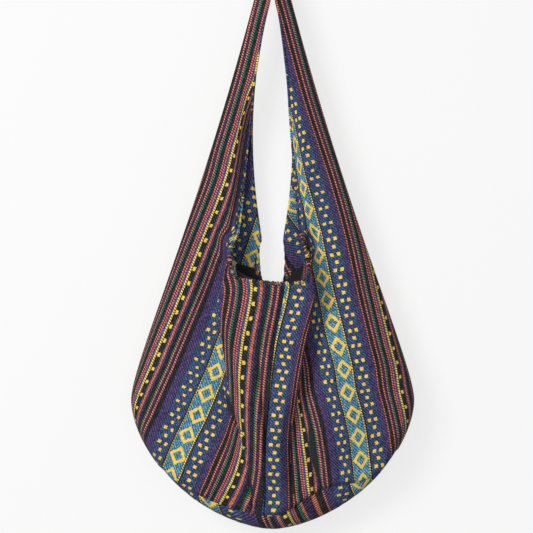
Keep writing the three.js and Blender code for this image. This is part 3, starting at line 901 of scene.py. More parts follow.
@dataclass(frozen=True)
class StripeRepeat:
    """The loom's repeat of stripes and figures, in millimetres across and along the cloth.

    Each stripe has a yarn, a width in the grid of the picture, and how strongly its twist shows.
    """

    bands: tuple[tuple[Yarn, float, float], ...] = (
        (Yarn.TEAL, 17.5, 0.08), (Yarn.LEMON, 1.3, THIN), (Yarn.INK, 0.9, DARK), (Yarn.NAVY, 16.8, PLAIN),
        (Yarn.PURPLE, 6.2, PLAIN), (Yarn.ORANGE, 1.6, THIN), (Yarn.INK, 3.8, DARK), (Yarn.ORANGE, 1.7, THIN),
        (Yarn.PLUM, 3.0, PLAIN), (Yarn.ORANGE, 1.8, THIN), (Yarn.GREEN, 1.8, THIN), (Yarn.INK, 3.2, DARK),
        (Yarn.MAUVE, 1.9, THIN), (Yarn.PLUM, 0.8, PLAIN), (Yarn.MAUVE, 1.9, THIN), (Yarn.BLUE, 1.8, PLAIN),
        (Yarn.LEMON, 2.5, 0.9), (Yarn.INK, 4.8, DARK), (Yarn.BLUE, 1.8, PLAIN), (Yarn.FLAME, 2.7, 0.5),
        (Yarn.PURPLE, 2.4, PLAIN), (Yarn.INK, 3.8, DARK), (Yarn.GREEN, 1.7, THIN), (Yarn.ORANGE, 1.8, THIN),
        (Yarn.PLUM, 3.2, PLAIN), (Yarn.ORANGE, 1.8, THIN), (Yarn.PURPLE, 0.9, PLAIN), (Yarn.INK, 4.0, DARK),
        (Yarn.PURPLE, 8.5, PLAIN), (Yarn.NAVY, 16.8, PLAIN), (Yarn.INK, 0.9, DARK), (Yarn.LEMON, 1.3, THIN),
    )
    dotted_bands: tuple[int, int] = (3, 29)
    squared_band: int = 17
    pixel: float = 1.42
    diamond_pitch: float = 32.5
    diamond_half: Pair = (12.6, 14.4)
    diamond_hole: Pair = (7.2, 8.2)
    dot_pitch: float = 21.65
    dot_half: Pair = (2.3, 2.3)
    dot_apart: float = 5.1
    dot_phase: float = 14.4
    square_half: Pair = (2.1, 2.6)
    square_phase: float = 6.2
    thread: Pair = (1.0, 1.2)
    gap: float = 0.4
    least_change: float = 0.001
    speck: Pair = (1.45, 1.7)
    twill: Pair = (4.6, 5.1)
    bead: Pair = (8.0, 3.65)
    jag: float = 1.5

    def start(self, number: int) -> float:
        """Returns the place where a stripe starts, by its number in the repeat."""
        return self.pixel * sum(width for _, width, _ in self.bands[:number])

    @property
    def width(self) -> float:
        """Width of the whole repeat."""
        return self.start(len(self.bands))

    def middle(self, number: int) -> float:
        """Returns the middle of a stripe."""
        return (self.start(number) + self.start(number + 1)) / 2


class Nodes:
    """A node tree that is written as sums."""

    def __init__(self, tree: NodeTree) -> None:
        """Starts on an empty tree."""
        self.tree = tree
        tree.nodes.clear()

    def feed(self, socket: NodeSocket, value: Feed) -> None:
        """Links a socket to another or to a node's first output, or sets its value."""
        if isinstance(value, Node):
            value = value.outputs[0]
        if isinstance(value, NodeSocket):
            self.tree.links.new(value, socket)
        else:
            socket.default_value = value

    def add(self, kind: str, inputs: dict[str | int, Feed] | None = None, **settings: object) -> Node:
        """Adds a node.

        Args:
            kind: Its type.
            inputs: What feeds its inputs, by name or number.
            settings: Its properties, which are set first.

        Returns:
            The node.
        """
        node = self.tree.nodes.new(kind)
        for name, value in settings.items():
            setattr(node, name, value)
        for key, value in (inputs or {}).items():
            self.feed(node.inputs[key], value)
        return node

    def math(self, operation: str, *values: Feed) -> NodeSocket:
        """Adds a Math node on the given values and returns its output."""
        return self.add("ShaderNodeMath", dict(enumerate(values)), operation=operation).outputs[0]

    def mix(self, share: Feed, a: Feed, b: Feed) -> NodeSocket:
        """Adds a mix of two colours and returns its output."""
        return self.add("ShaderNodeMix", {0: share, 6: a, 7: b}, data_type="RGBA").outputs[2]

    def off(self, value: Feed, middle: Feed) -> NodeSocket:
        """Returns the distance of a value from a middle."""
        return self.math("ABSOLUTE", self.math("SUBTRACT", value, middle))

    def nearest(self, value: Feed, pitch: float, phase: float) -> NodeSocket:
        """Returns the distance of a value from the nearest mark of a pitch."""
        moved = self.math("ADD", self.math("DIVIDE", self.math("SUBTRACT", value, phase), pitch), 0.5)
        return self.math("MULTIPLY", self.off(self.math("FRACT", moved), 0.5), pitch)

    def inside(self, across: Feed, along: Feed, half: Pair) -> NodeSocket:
        """Returns 1 where both distances are within their halves."""
        within = (self.math("LESS_THAN", off, limit) for off, limit in zip((across, along), half))
        return self.math("MULTIPLY", *within)

    def rhombus(self, across: Feed, along: Feed, half: Pair) -> NodeSocket:
        """Returns 1 inside a rhombus."""
        parts = (self.math("DIVIDE", off, limit) for off, limit in zip((across, along), half))
        return self.math("LESS_THAN", self.math("ADD", *parts), 1.0)

    def on_loom(self, group: ShaderNodeTree) -> Node:
        """Places a group that reads the cloth's places on the loom."""
        place = self.add("ShaderNodeSeparateXYZ", {0: self.add("ShaderNodeUVMap", uv_map=WEAVE_MAP)}).outputs
        return self.add("ShaderNodeGroup", {"Across": place[0], "Along": place[1]}, node_tree=group)

    def cloth(self, height: Feed, strength: float, relief: float, inputs: dict[str, Feed]) -> None:
        """Ends a material with a surface that stands up by a height.

        Args:
            height: Height of the yarns.
            strength: How strongly it shows.
            relief: Depth of the relief in metres.
            inputs: What feeds the surface.
        """
        bump = self.add("ShaderNodeBump", {"Height": height, "Strength": strength, "Distance": relief})
        surface = self.add("ShaderNodeBsdfPrincipled", {**inputs, "Normal": bump})
        self.add("ShaderNodeOutputMaterial", {"Surface": surface})


def new_material(name: str) -> tuple[Material, Nodes]:
    """Makes an empty material and returns it with its nodes."""
    made = bpy.data.materials.new(name)
    made.use_nodes = True
    return made, Nodes(made.node_tree)


def new_group(
    name: str, kind: str, inputs: dict[str, str], outputs: dict[str, str]
) -> tuple[NodeTree, Nodes, bpy.types.bpy_prop_collection, bpy.types.bpy_prop_collection]:
    """Makes an empty node group.

    Args:
        name: Name of the group.
        kind: Type of its tree.
        inputs: Name and socket type of each input.
        outputs: Name and socket type of each output.

    Returns:
        The group, its nodes, the sockets that come in and those that go out.
    """
    group = bpy.data.node_groups.new(name, kind)
    for side, sockets in (("INPUT", inputs), ("OUTPUT", outputs)):
        for label, socket in sockets.items():
            group.interface.new_socket(label, in_out=side, socket_type=socket)
    nodes = Nodes(group)
    return group, nodes, nodes.add("NodeGroupInput").outputs, nodes.add("NodeGroupOutput").inputs


def twist_group(repeat: StripeRepeat) -> ShaderNodeTree:
    """Makes the group that shows the slant of the yarns in the weave.

    Args:
        repeat: The loom's repeat, which gives the pitch of the slant.

    Returns:
        A group from places on the loom to the ground's slant, the beads of thin stripes, a value for each
        bead and one for each thread.
    """
    inputs = dict.fromkeys(("Across", "Along", "Pitch"), FLOAT)
    outputs = dict.fromkeys(("Wave", "Bead", "Yarn", "Speck"), FLOAT)
    group, n, given, made = new_group("yarn_twist", "ShaderNodeTree", inputs, outputs)
    across, along = (n.math("DIVIDE", given[label], given["Pitch"]) for label in ("Across", "Along"))
    turns = {}
    for label, (wide, tall) in (("Wave", repeat.twill), ("Bead", repeat.bead)):
        turns[label] = n.math("SUBTRACT", n.math("DIVIDE", along, tall), n.math("DIVIDE", across, wide))
        wave = n.math("COSINE", n.math("MULTIPLY", turns[label], TURN))
        n.feed(made[label], n.math("MULTIPLY_ADD", wave, 0.5, 0.5))
    bead = (n.math("ADD", turns["Bead"], 0.5), n.math("DIVIDE", across, repeat.twill[0]))
    slanted = n.math("DIVIDE", n.math("ADD", along, across), repeat.speck[1])
    for label, place in (("Yarn", bead), ("Speck", (n.math("DIVIDE", across, repeat.speck[0]), slanted))):
        cell = n.add("ShaderNodeCombineXYZ", {k: n.math("FLOOR", part) for k, part in enumerate(place)})
        n.feed(made[label], n.add("ShaderNodeTexWhiteNoise", {"Vector": cell}, noise_dimensions="2D"))
    return group


def band_ramp(n: Nodes, repeat: StripeRepeat, share: Feed) -> Node:
    """Adds a colour ramp of the stripes.

    Args:
        n: The tree's nodes.
        repeat: The loom's repeat.
        share: Socket with the place in the repeat, from 0 to 1.

    Returns:
        The ramp, with the yarn's colour and how strongly its twist shows.
    """
    ramp = n.add("ShaderNodeValToRGB", {0: share})
    ramp.color_ramp.interpolation = "CONSTANT"
    stops = ramp.color_ramp.elements
    for number, (yarn, _, twist) in enumerate(repeat.bands):
        at = repeat.start(number) / repeat.width
        stop = stops[number] if number < 2 else stops.new(at)
        stop.position = at
        stop.color = (*yarn.linear, twist)
    return ramp


def stripe_group(repeat: StripeRepeat) -> ShaderNodeTree:
    """Makes the group that draws the stripes, diamonds, dots and squares.

    Args:
        repeat: The loom's repeat.

    Returns:
        A group from places on the loom to the yarn's colour, how strongly its twist shows, a mask of figures
        and a mask of the gaps between stripes.
    """
    outputs = {"Colour": COLOUR, **dict.fromkeys(("Twist", "Figure", "Gap"), FLOAT)}
    inputs = dict.fromkeys(("Across", "Along"), FLOAT)
    group, n, given, made = new_group("stripe_repeat", "ShaderNodeTree", inputs, outputs)
    place = n.math("DIVIDE", given["Across"], repeat.width)
    share = n.math("FRACT", place)
    ramp = band_ramp(n, repeat, share).outputs
    changes = []
    for side in (-repeat.gap, repeat.gap):
        beside = band_ramp(n, repeat, n.math("FRACT", n.math("ADD", place, side / repeat.width)))
        change = n.add("ShaderNodeVectorMath", {0: ramp["Color"], 1: beside}, operation="DISTANCE")
        changes.append(change.outputs["Value"])
    # Mask of the stripe edges. The cloth there is darkened partly for the dark ground between the yarns and
    # partly as painted shade where the round yarns dip.
    gap = n.math("GREATER_THAN", n.math("MAXIMUM", *changes), repeat.least_change)
    v = n.math("SNAP", given["Along"], repeat.thread[1])
    uneven = n.add("ShaderNodeTexWhiteNoise", {"W": v}, noise_dimensions="1D")
    shift = n.math("MULTIPLY_ADD", uneven.outputs["Value"], repeat.jag, -0.5 * repeat.jag)
    u = n.math("SNAP", n.math("MULTIPLY_ADD", share, repeat.width, shift), repeat.thread[0])
    diamond = (n.off(u, repeat.middle(0)), n.nearest(v, repeat.diamond_pitch, 0.0))
    hole = n.rhombus(*diamond, repeat.diamond_hole)
    figure = n.math("SUBTRACT", n.rhombus(*diamond, repeat.diamond_half), hole)
    along_pair = n.nearest(v, repeat.dot_pitch, repeat.dot_phase)
    along_single = n.nearest(v, repeat.dot_pitch, repeat.dot_phase + repeat.dot_pitch / 2)
    for number in repeat.dotted_bands:
        from_middle = n.off(u, repeat.middle(number))
        pair = n.inside(n.off(from_middle, repeat.dot_apart), along_pair, repeat.dot_half)
        single = n.inside(from_middle, along_single, repeat.dot_half)
        figure = n.math("MAXIMUM", figure, n.math("MAXIMUM", pair, single))
    along_square = n.nearest(v, repeat.dot_pitch, repeat.square_phase)
    square = n.inside(n.off(u, repeat.middle(repeat.squared_band)), along_square, repeat.square_half)
    figure = n.math("MAXIMUM", figure, square)
    n.feed(made["Colour"], n.mix(figure, ramp["Color"], (*Yarn.GOLD.linear, 1.0)))
    ground = n.math("SUBTRACT", 1.0, figure)
    n.feed(made["Twist"], n.math("MULTIPLY", ramp["Alpha"], ground))
    n.feed(made["Figure"], figure)
    n.feed(made["Gap"], n.math("MULTIPLY", gap, ground))
    return group


@dataclass(frozen=True)
class StripedFinish:
    """Striped woven cotton, with yarns that stand up from the ground.

    Pairs that scale a value say how much it spreads and where it starts.
    """

    name: str
    stripes: ShaderNodeTree
    twist: ShaderNodeTree
    # Brightness of the whole cloth; below 1 it paints shade over all of it.
    level: float = 1.0
    bead: Pair = (1.87, 0.08)
    bead_spread: Pair = (0.4, 0.8)
    speck: Pair = (1.4, 0.3)
    twill: Pair = (1.3, 0.35)
    figure_spread: Pair = (0.36, 0.82)
    # Darkening at the gaps between stripes: partly the dark ground, partly painted shade between the round
    # yarns.
    gap: float = 0.5
    fade: Pair = (0.24, 0.88)
    fade_scale: float = 9.0
    fade_detail: float = 4.0
    roughness: Pair = (-0.08, 0.94)
    sheen: float = 0.03
    specular: float = 0.1
    figure_lift: float = 0.4
    lift: float = 0.6
    bump: Pair = (0.7, 0.0007)

    def strength(self, n: Nodes, stripes: Node, twist: Node) -> NodeSocket:
        """Works out how light or dark each thread is.

        Args:
            n: The material's nodes.
            stripes: Its group of stripes.
            twist: Its group of yarns.

        Returns:
            Socket with the strength, about 1 on average.
        """
        def scaled(label: str, scale: Pair) -> NodeSocket:
            """Returns a value of the yarns with its spread and start."""
            return n.math("MULTIPLY_ADD", twist.outputs[label], *scale)

        bead = n.math("MULTIPLY", scaled("Bead", self.bead), scaled("Yarn", self.bead_spread))
        speck = n.math("MULTIPLY", scaled("Speck", self.speck), scaled("Wave", self.twill))
        ground = n.math("MULTIPLY_ADD", n.math("SUBTRACT", bead, speck), stripes.outputs["Twist"], speck)
        lifted = n.math("SUBTRACT", scaled("Speck", self.figure_spread), ground)
        made = n.math("MULTIPLY_ADD", lifted, stripes.outputs["Figure"], ground)
        # Darkens the gaps between stripes, partly as painted shade, and darkens the whole cloth by its level,
        # which is painted shade on the facing.
        return n.math("MULTIPLY", made, n.math("MULTIPLY_ADD", stripes.outputs["Gap"], -self.gap, self.level))

    def material(self) -> Material:
        """Makes the material."""
        made, n = new_material(self.name)
        stripes, twist = n.on_loom(self.stripes), n.on_loom(self.twist)
        twist.inputs["Pitch"].default_value = 1.0
        strength = self.strength(n, stripes, twist)
        place = n.add("ShaderNodeTexCoord").outputs["Object"]
        cloud = {"Vector": place, "Scale": self.fade_scale, "Detail": self.fade_detail}
        worn = n.math("MULTIPLY_ADD", n.add("ShaderNodeTexNoise", cloud).outputs["Fac"], *self.fade)
        tone = {"Color": stripes.outputs["Colour"], "Value": n.math("MULTIPLY", strength, worn)}
        surface = {
            "Base Color": n.add("ShaderNodeHueSaturation", tone),
            "Roughness": n.math("MULTIPLY_ADD", twist.outputs["Wave"], *self.roughness),
            "Sheen Weight": self.sheen,
            "Specular IOR Level": self.specular,
        }
        figure = n.math("MULTIPLY_ADD", stripes.outputs["Figure"], self.figure_lift, strength)
        n.cloth(n.math("MULTIPLY", figure, self.lift), *self.bump, surface)
        return made


@dataclass(frozen=True)
class LiningFinish:
    """Black cotton lining with a fine even weave."""

    name: str
    twist: ShaderNodeTree
    pitch: float = 0.3
    spread: float = 0.5
    dark: tuple[float, ...] = (0.003, 0.003, 0.0035, 1.0)
    light: tuple[float, ...] = (0.009, 0.009, 0.01, 1.0)
    roughness: float = 0.9
    sheen: float = 0.05
    bump: Pair = (0.5, 0.0002)

    def material(self) -> Material:
        """Makes the material."""
        made, n = new_material(self.name)
        twist = n.on_loom(self.twist)
        twist.inputs["Pitch"].default_value = self.pitch
        weft = n.math("MULTIPLY_ADD", twist.outputs["Yarn"], self.spread, twist.outputs["Wave"])
        colour = n.mix(weft, self.dark, self.light)
        surface = {"Base Color": colour, "Roughness": self.roughness, "Sheen Weight": self.sheen}
        n.cloth(weft, *self.bump, surface)
        return made


def loop_tree() -> GeometryNodeTree:
    """Makes the tree that sews loops of yarn over a line.

    Returns:
        A tree from a line to loops round it, evenly spaced, with seeded tilts and sizes.
    """
    shape = "NodeSocketGeometry"
    inputs = {"Lines": shape, **dict.fromkeys(("Pitch", "Size", "Yarn", "Tilt"), FLOAT)}
    inputs |= {"Seed": "NodeSocketInt", "Finish": "NodeSocketMaterial"}
    tree, n, given, made = new_group("yarn_loops", "GeometryNodeTree", inputs, {"Loops": shape})
    seed, size = given["Seed"], given["Size"]
    curve = n.add("GeometryNodeMeshToCurve", {"Mesh": given["Lines"]})
    even = n.add("GeometryNodeResampleCurve", {"Curve": curve, "Length": given["Pitch"]}, mode="LENGTH")
    ring = n.add("GeometryNodeCurvePrimitiveCircle", {"Resolution": LOOP_SIDES, "Radius": 1.0})
    thick = n.math("DIVIDE", given["Yarn"], size)
    section = n.add("GeometryNodeCurvePrimitiveCircle", {"Resolution": YARN_SIDES, "Radius": thick})
    loop = n.add("GeometryNodeCurveToMesh", {"Curve": ring, "Profile Curve": section})
    tangent = n.add("GeometryNodeInputTangent")
    align = n.add("FunctionNodeAlignRotationToVector", {"Vector": tangent}, axis="Z")
    ends = {"Min": (-1.0, -1.0, -1.0), "Max": (1.0, 1.0, 1.0), "Seed": seed}
    lean = n.add("FunctionNodeRandomValue", ends, data_type="FLOAT_VECTOR")
    scaled = n.add("ShaderNodeVectorMath", {0: lean, "Scale": given["Tilt"]}, operation="SCALE")
    angle = n.add("FunctionNodeEulerToRotation", {0: scaled})
    turned = n.add("FunctionNodeRotateRotation", {0: align, 1: angle}, rotation_space="LOCAL")
    sizes = {2: LOOP_SIZES[0], 3: LOOP_SIZES[1], "Seed": seed}
    spread = n.add("FunctionNodeRandomValue", sizes, data_type="FLOAT")
    scale = n.math("MULTIPLY", spread.outputs[1], size)
    loops = {"Points": even, "Instance": loop, "Rotation": turned, "Scale": scale}
    real = n.add("GeometryNodeRealizeInstances", {0: n.add("GeometryNodeInstanceOnPoints", loops)})
    smooth = n.add("GeometryNodeSetShadeSmooth", {0: real})
    painted = n.add("GeometryNodeSetMaterial", {"Geometry": smooth, "Material": given["Finish"]})
    n.feed(made["Loops"], painted)
    return tree


@dataclass(frozen=True)
class Finishes:
    """The bag's materials, and the tree that sews its yarn loops."""

    woven: Material
    facing: Material
    lining: Material
    loops: GeometryNodeTree


def placed(name: str, data: bpy.types.ID) -> Object:
    """Puts a mesh, a lamp or a camera into the scene."""
    thing = bpy.data.objects.new(name, data)
    bpy.context.scene.collection.objects.link(thing)
    return thing


@dataclass(frozen=True)
class YarnLoops:
    """Loops of yarn sewn over an edge."""

    pitch: float
    size: float
    yarn: float
    tilt: float
    seed: int

    def mesh(self, name: str, line: Strand, finishes: Finishes) -> Mesh:
        """Makes the loops.

        Args:
            name: Name of the mesh.
            line: The edge that carries them.
            finishes: The bag's materials.

        Returns:
            The mesh, with the places on the loom as its UV map.
        """
        base = bpy.data.meshes.new(f"{name}_lines")
        edges = [(i, i + 1) for i in range(len(line.points) - 1)]
        base.from_pydata((line.points * MM).tolist(), edges, [])
        loom = np.pad(line.weave, ((0, 0), (0, 1)))
        base.attributes.new(LOOM_PLACE, "FLOAT_VECTOR", "POINT").data.foreach_set("vector", loom.ravel())
        carrier = placed(f"{name}_lines", base)
        sewn = carrier.modifiers.new("loops", "NODES")
        sewn.node_group = finishes.loops
        values = {"Pitch": self.pitch * MM, "Size": self.size * MM, "Yarn": self.yarn * MM}
        values |= {"Tilt": self.tilt, "Seed": self.seed, "Finish": finishes.woven}
        for socket in finishes.loops.interface.items_tree:
            if socket.name in values:
                sewn[socket.identifier] = values[socket.name]
        made = bpy.data.meshes.new_from_object(carrier.evaluated_get(bpy.context.evaluated_depsgraph_get()))
        made.name = name
        bpy.data.objects.remove(carrier)
        bpy.data.meshes.remove(base)
        places = np.zeros(len(made.vertices) * 3, np.float32)
        made.attributes[LOOM_PLACE].data.foreach_get("vector", places)
        corners = np.zeros(len(made.loops), np.int32)
        made.loops.foreach_get("vertex_index", corners)
        layer = made.uv_layers.new(name=WEAVE_MAP)
        layer.uv.foreach_set("vector", places.reshape(-1, 3)[corners, :2].ravel())
        return made


def new_piece(mesh: Mesh, finish: Material, slot: str, *nodes: str) -> Object:
    """Puts a mesh into the scene as a piece of the bag.

    Args:
        mesh: The mesh, which gives the piece its name.
        finish: Its material.
        slot: The record's material slot, which is not used.
        nodes: Solids that the piece stands for.

    Returns:
        The piece.
    """
    piece = placed(mesh.name, mesh)
    if not mesh.materials:
        mesh.materials.append(finish)
    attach(piece, BODY)
    if nodes:
        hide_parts(*nodes)
    log.info("%s: %d faces", piece.name, len(mesh.polygons))
    return piece


@dataclass
class HalfBag:
    """One half of the bag: two walls that share a side fold, in layers of cloth, with their hems."""

    front: Wall
    back: Wall
    layout: Layout
    ridge_place: float
    mouth_place: float
    loose: list[Strand] = field(default_factory=list)
    drape: Drape = Drape()
    hem: Pair = (1.9, 1.6)
    hem_sunk: float = 1.7
    ridge_sunk: float = -0.2
    mouth_sunk: float = 0.4
    worn_rows: int = 46
    frayed_from: int = 64
    stray: Pair = (3.5, 2.4)
    hem_loops: YarnLoops = YarnLoops(pitch=3.4, size=2.2, yarn=0.62, tilt=0.35, seed=3)
    mouth_loops: YarnLoops = YarnLoops(pitch=3.1, size=2.5, yarn=0.95, tilt=0.5, seed=5)
    ridge_loops: YarnLoops = YarnLoops(pitch=1.8, size=1.2, yarn=0.45, tilt=1.3, seed=8)

    def wall_row(self, wall: Wall, layer: Layer, level: float | None, down: float) -> Array:
        """Lays one row of one wall.

        Args:
            wall: The wall.
            layer: The layer of cloth.
            level: Level of a row above the mouth, or None below it.
            down: Share of the way from hem to base, or less than 0 above the mouth.

        Returns:
            One table line for each column, from the side fold to the centre.
        """
        counts, lined = layer.groups or wall.groups, layer.inset > 0
        columns = sum(counts)
        ridge = columns - counts[-1]
        inner = ridge if lined else ridge - counts[-2]
        out = np.full((columns + 1, len(Col)), np.nan)
        top = lerp(OUTLINE.corner_level, layer.end, down) if level is None else level
        out[: inner + 1] = wall.cells(top, down, layer, slice(0, inner + 1))
        self.drape.roll(wall, out[: inner + 1])
        for k in range(inner + 1, columns + 1) if level is None else ():
            crossed = max(0.0, (k - ridge) / (columns - ridge))
            returned = min(1.0, (k - inner) / max(ridge - inner, 1))
            hem = wall.hem_level(returned, crossed, lined)
            out[k] = wall.cells(lerp(hem, layer.end, down), down, layer, slice(k, k + 1))[0]
        if lined:
            self.drape.slant(wall, out)
        self.drape.ripple(wall, out, layer.inset)
        return out

    def net(self, layer: Layer, levels: Array, downs: Array) -> Grid:
        """Lays a net of cloth over both walls.

        Args:
            layer: The layer of cloth.
            levels: Levels of the rows above the mouth.
            downs: Shares of the way from hem to base of the rows below it.

        Returns:
            The net, from the front centre round the side fold to the back centre.
        """
        sides = []
        for wall in (self.front, self.back):
            rows = [self.wall_row(wall, layer, float(level), -1.0) for level in levels]
            sides.append(np.array(rows + [self.wall_row(wall, layer, None, float(down)) for down in downs]))
        front, inside = self.layout.front(sides[0]), self.layout.facing(sides[1])
        back = inside if layer.inset > 0 else self.layout.back(sides[1])
        pairs = (sides, (front, back), (front, inside))
        points, weave, lined = (np.concatenate([a[:, ::-1], b[:, 1:]], 1) for a, b in pairs)
        return Grid(points[..., :3], weave, lined)

    @cached_property
    def outer(self) -> Grid:
        """Net of the outer panel."""
        levels = OUTLINE.rows_above(OUTLINE.corner_level)[:-1]
        return self.net(OUTER, levels, np.linspace(0, 1, BODY_ROWS + 1))

    def strand(self, rows: Array, columns: Array, sunk: float, place: float | None) -> Strand:
        """Follows a line of the outer panel.

        Args:
            rows: Rows of its net.
            columns: Columns of its net.
            sunk: How far the line lies under the cloth.
            place: Place on the loom that its yarns come from, or None for the cloth's own.

        Returns:
            The line, ready to be made round.
        """
        normals = self.outer.normals(self.front.half.sign)[rows, columns]
        weave = self.outer.weave[rows, columns]
        if place is not None:
            strays = self.stray[0] * np.sin(self.stray[1] * np.arange(len(rows)))
            weave = np.stack([place + strays, weave[:, 1]], -1)
        along = np.gradient(weave, axis=0)
        across = unit(np.stack([-along[:, 1], along[:, 0]], -1))
        return Strand(self.outer.points[rows, columns] - sunk * normals, normals, weave, across, self.hem)

    def edge(self, wall: Wall) -> Strand:
        """Follows the neck and mouth edge of a wall, from the crown to the centre seam.

        Args:
            wall: The wall.

        Returns:
            The line, with the yarns of the cloth that shows beside it from the front.
        """
        inner, last, above = sum(wall.groups[:-2]), sum(wall.groups), CROWN_ROWS + NECK_ROWS
        steps = np.append(np.full(above, inner), np.arange(inner, last + 1))
        rows = np.minimum(np.arange(len(steps)), above)
        line = self.strand(rows, sum(self.front.groups) + wall.face * steps, self.hem_sunk, None)
        return line if wall is self.front else replace(line, weave=self.layout.facing(line.points))

    def ridge(self) -> Strand:
        """Follows the ridge of the front pleat down from the mouth."""
        rows = CROWN_ROWS + NECK_ROWS + np.arange(self.worn_rows)
        return self.strand(rows, np.full_like(rows, self.front.groups[-1]), self.ridge_sunk, self.ridge_place)

    def mouth(self) -> Strand:
        """Follows the front mouth hem from the centre seam to the ridge of the pleat."""
        columns = np.arange(self.front.groups[-1] + 1)
        rows = np.full_like(columns, CROWN_ROWS + NECK_ROWS)
        return self.strand(rows, columns, self.mouth_sunk, self.mouth_place)

    def build(self, finishes: Finishes) -> None:
        """Builds the pieces of this half.

        Args:
            finishes: The bag's materials.
        """
        name, sign = self.front.half.name, self.front.half.sign
        edges = [self.edge(self.front), self.edge(self.back)]
        meshes = [
            strands_mesh(f"{name}_hem_cloth", [*edges, *self.loose]),
            self.hem_loops.mesh(f"{name}_hem_yarn", edges[0].after(self.frayed_from), finishes),
            self.mouth_loops.mesh(f"{name}_mouth_yarn", self.mouth(), finishes),
            self.ridge_loops.mesh(f"{name}_ridge_yarn", self.ridge(), finishes),
        ]
        extras = [new_piece(mesh, finishes.woven, WOVEN) for mesh in meshes]
        facing_end = OUTLINE.neck_level(OUTLINE.facing_drop)
        lining_top = OUTLINE.neck_level(OUTLINE.facing_drop + LAYER_GAP)
        facing = self.net(FACED, OUTLINE.rows_above(facing_end), np.array([]))
        lining = self.net(LINED, np.array([lining_top]), np.linspace(0, 1, LINING_ROWS + 1))
        sheets = (
            ("panel", self.outer, OUTER, finishes.woven, WOVEN, extras),
            ("facing", facing, FACED, finishes.facing, FACING, []),
            ("lining", lining, LINED, finishes.lining, LINING, []),
        )
        for part, grid, layer, finish, slot, sewn in sheets:
            rim = None if grid is facing else grid.rim(layer.thickness, False)
            cloth = shell(f"{name}_{part}_cloth", grid, sign, layer.thickness, rim)
            new_piece(cloth, finish, slot, f"{name}_{part}")


@dataclass
class BasePieces:
    """The boat-shaped base under the body, and its lining."""

    left: HalfBag
    right: HalfBag
    stations: int = 150
    station_ease: float = 0.85
    strips: int = 36
    stripe_places: Run = Run(
        (
            (-130, 236), (-92, 190), (-60, 163), (-23, 138), (6.5, 109), (21, 96), (35, 79),
            (64, 66), (96, 39), (124, 12), (160, -20),
        )
    )
    lean: float = 0.3
    swell: float = 2.4
    swell_fade: float = 60.0
    folds: Pair = (17.0, 29.0)
    fold_height: float = 0.3
    bulge: Pair = (1.4, 8.0)

    def seam(self, left: Wall, right: Wall) -> Array:
        """Returns the body's row at the base seam, from the left tip to the right tip."""
        a, b = (wall.row(OUTER.end, OUTER.inset).table[:, :3] for wall in (left, right))
        return np.concatenate([a, b[:-1][::-1]])

    def net(self) -> Grid:
        """Lays the net of the base between the front and back seams."""
        front = self.seam(self.left.front, self.right.front)
        back = self.seam(self.left.back, self.right.back)
        gap = OUTLINE.seam_gap
        first = max(front[0, 0], back[0, 0]) + gap
        last = min(front[-1, 0], back[-1, 0]) - gap
        t = np.linspace(0, 1, self.stations + 1)
        x = lerp(first, last, lerp(t, (1 - np.cos(np.pi * t)) / 2, self.station_ease))
        e = np.linspace(-1, 1, self.strips + 1)

        def read(line: Array, axis: int) -> Array:
            """Returns one coordinate of a seam at each station."""
            order = np.argsort(line[:, 0], kind="stable")
            return np.interp(x, line[order, 0], line[order, axis])[:, None]

        rim = np.where(e < 0, read(front, 2), read(back, 2))
        keel = np.minimum(-OUTLINE.bowl(x)[:, None], rim)
        z = lerp(keel, rim, np.abs(e) ** OUTLINE.base_power)
        y = lerp(read(front, 1) + gap, read(back, 1) - gap, (e + 1) / 2)
        points = np.stack([np.broadcast_to(x[:, None], z.shape), y, z], -1)
        folds = sum(np.sin(TURN * x / pitch) for pitch in self.folds)
        full = ease((x - first) / self.swell_fade) * ease((last - x) / self.swell_fade)
        full = full * (self.swell + self.fold_height * folds)
        rise = full[:, None] * np.abs(e) * (1 - np.abs(e) ** self.bulge[1]) * self.bulge[0]
        points = points + rise[..., None] * Grid(points, points[..., :2]).normals(1)
        along = grown(points)
        return Grid(points, np.stack([self.stripe_places.at(points[..., 0] - self.lean * along), along], -1))

    def build(self, finishes: Finishes) -> None:
        """Builds the base and its lining.

        Args:
            finishes: The bag's materials.
        """
        grid = self.net()
        steps = grid.rim(LINED.inset, True)
        steps = np.where(np.isnan(steps), -LINED.inset * grid.normals(1), steps)
        floor = Grid(grid.points + steps, grid.weave)
        sheets = (
            ("base_panel", grid, OUTER, finishes.woven, WOVEN),
            ("base_lining", floor, LINED, finishes.lining, LINING),
        )
        for name, net, layer, finish, slot in sheets:
            cloth = shell(f"{name}_cloth", net, 1, layer.thickness, net.rim(layer.thickness, True))
            new_piece(cloth, finish, slot, name)


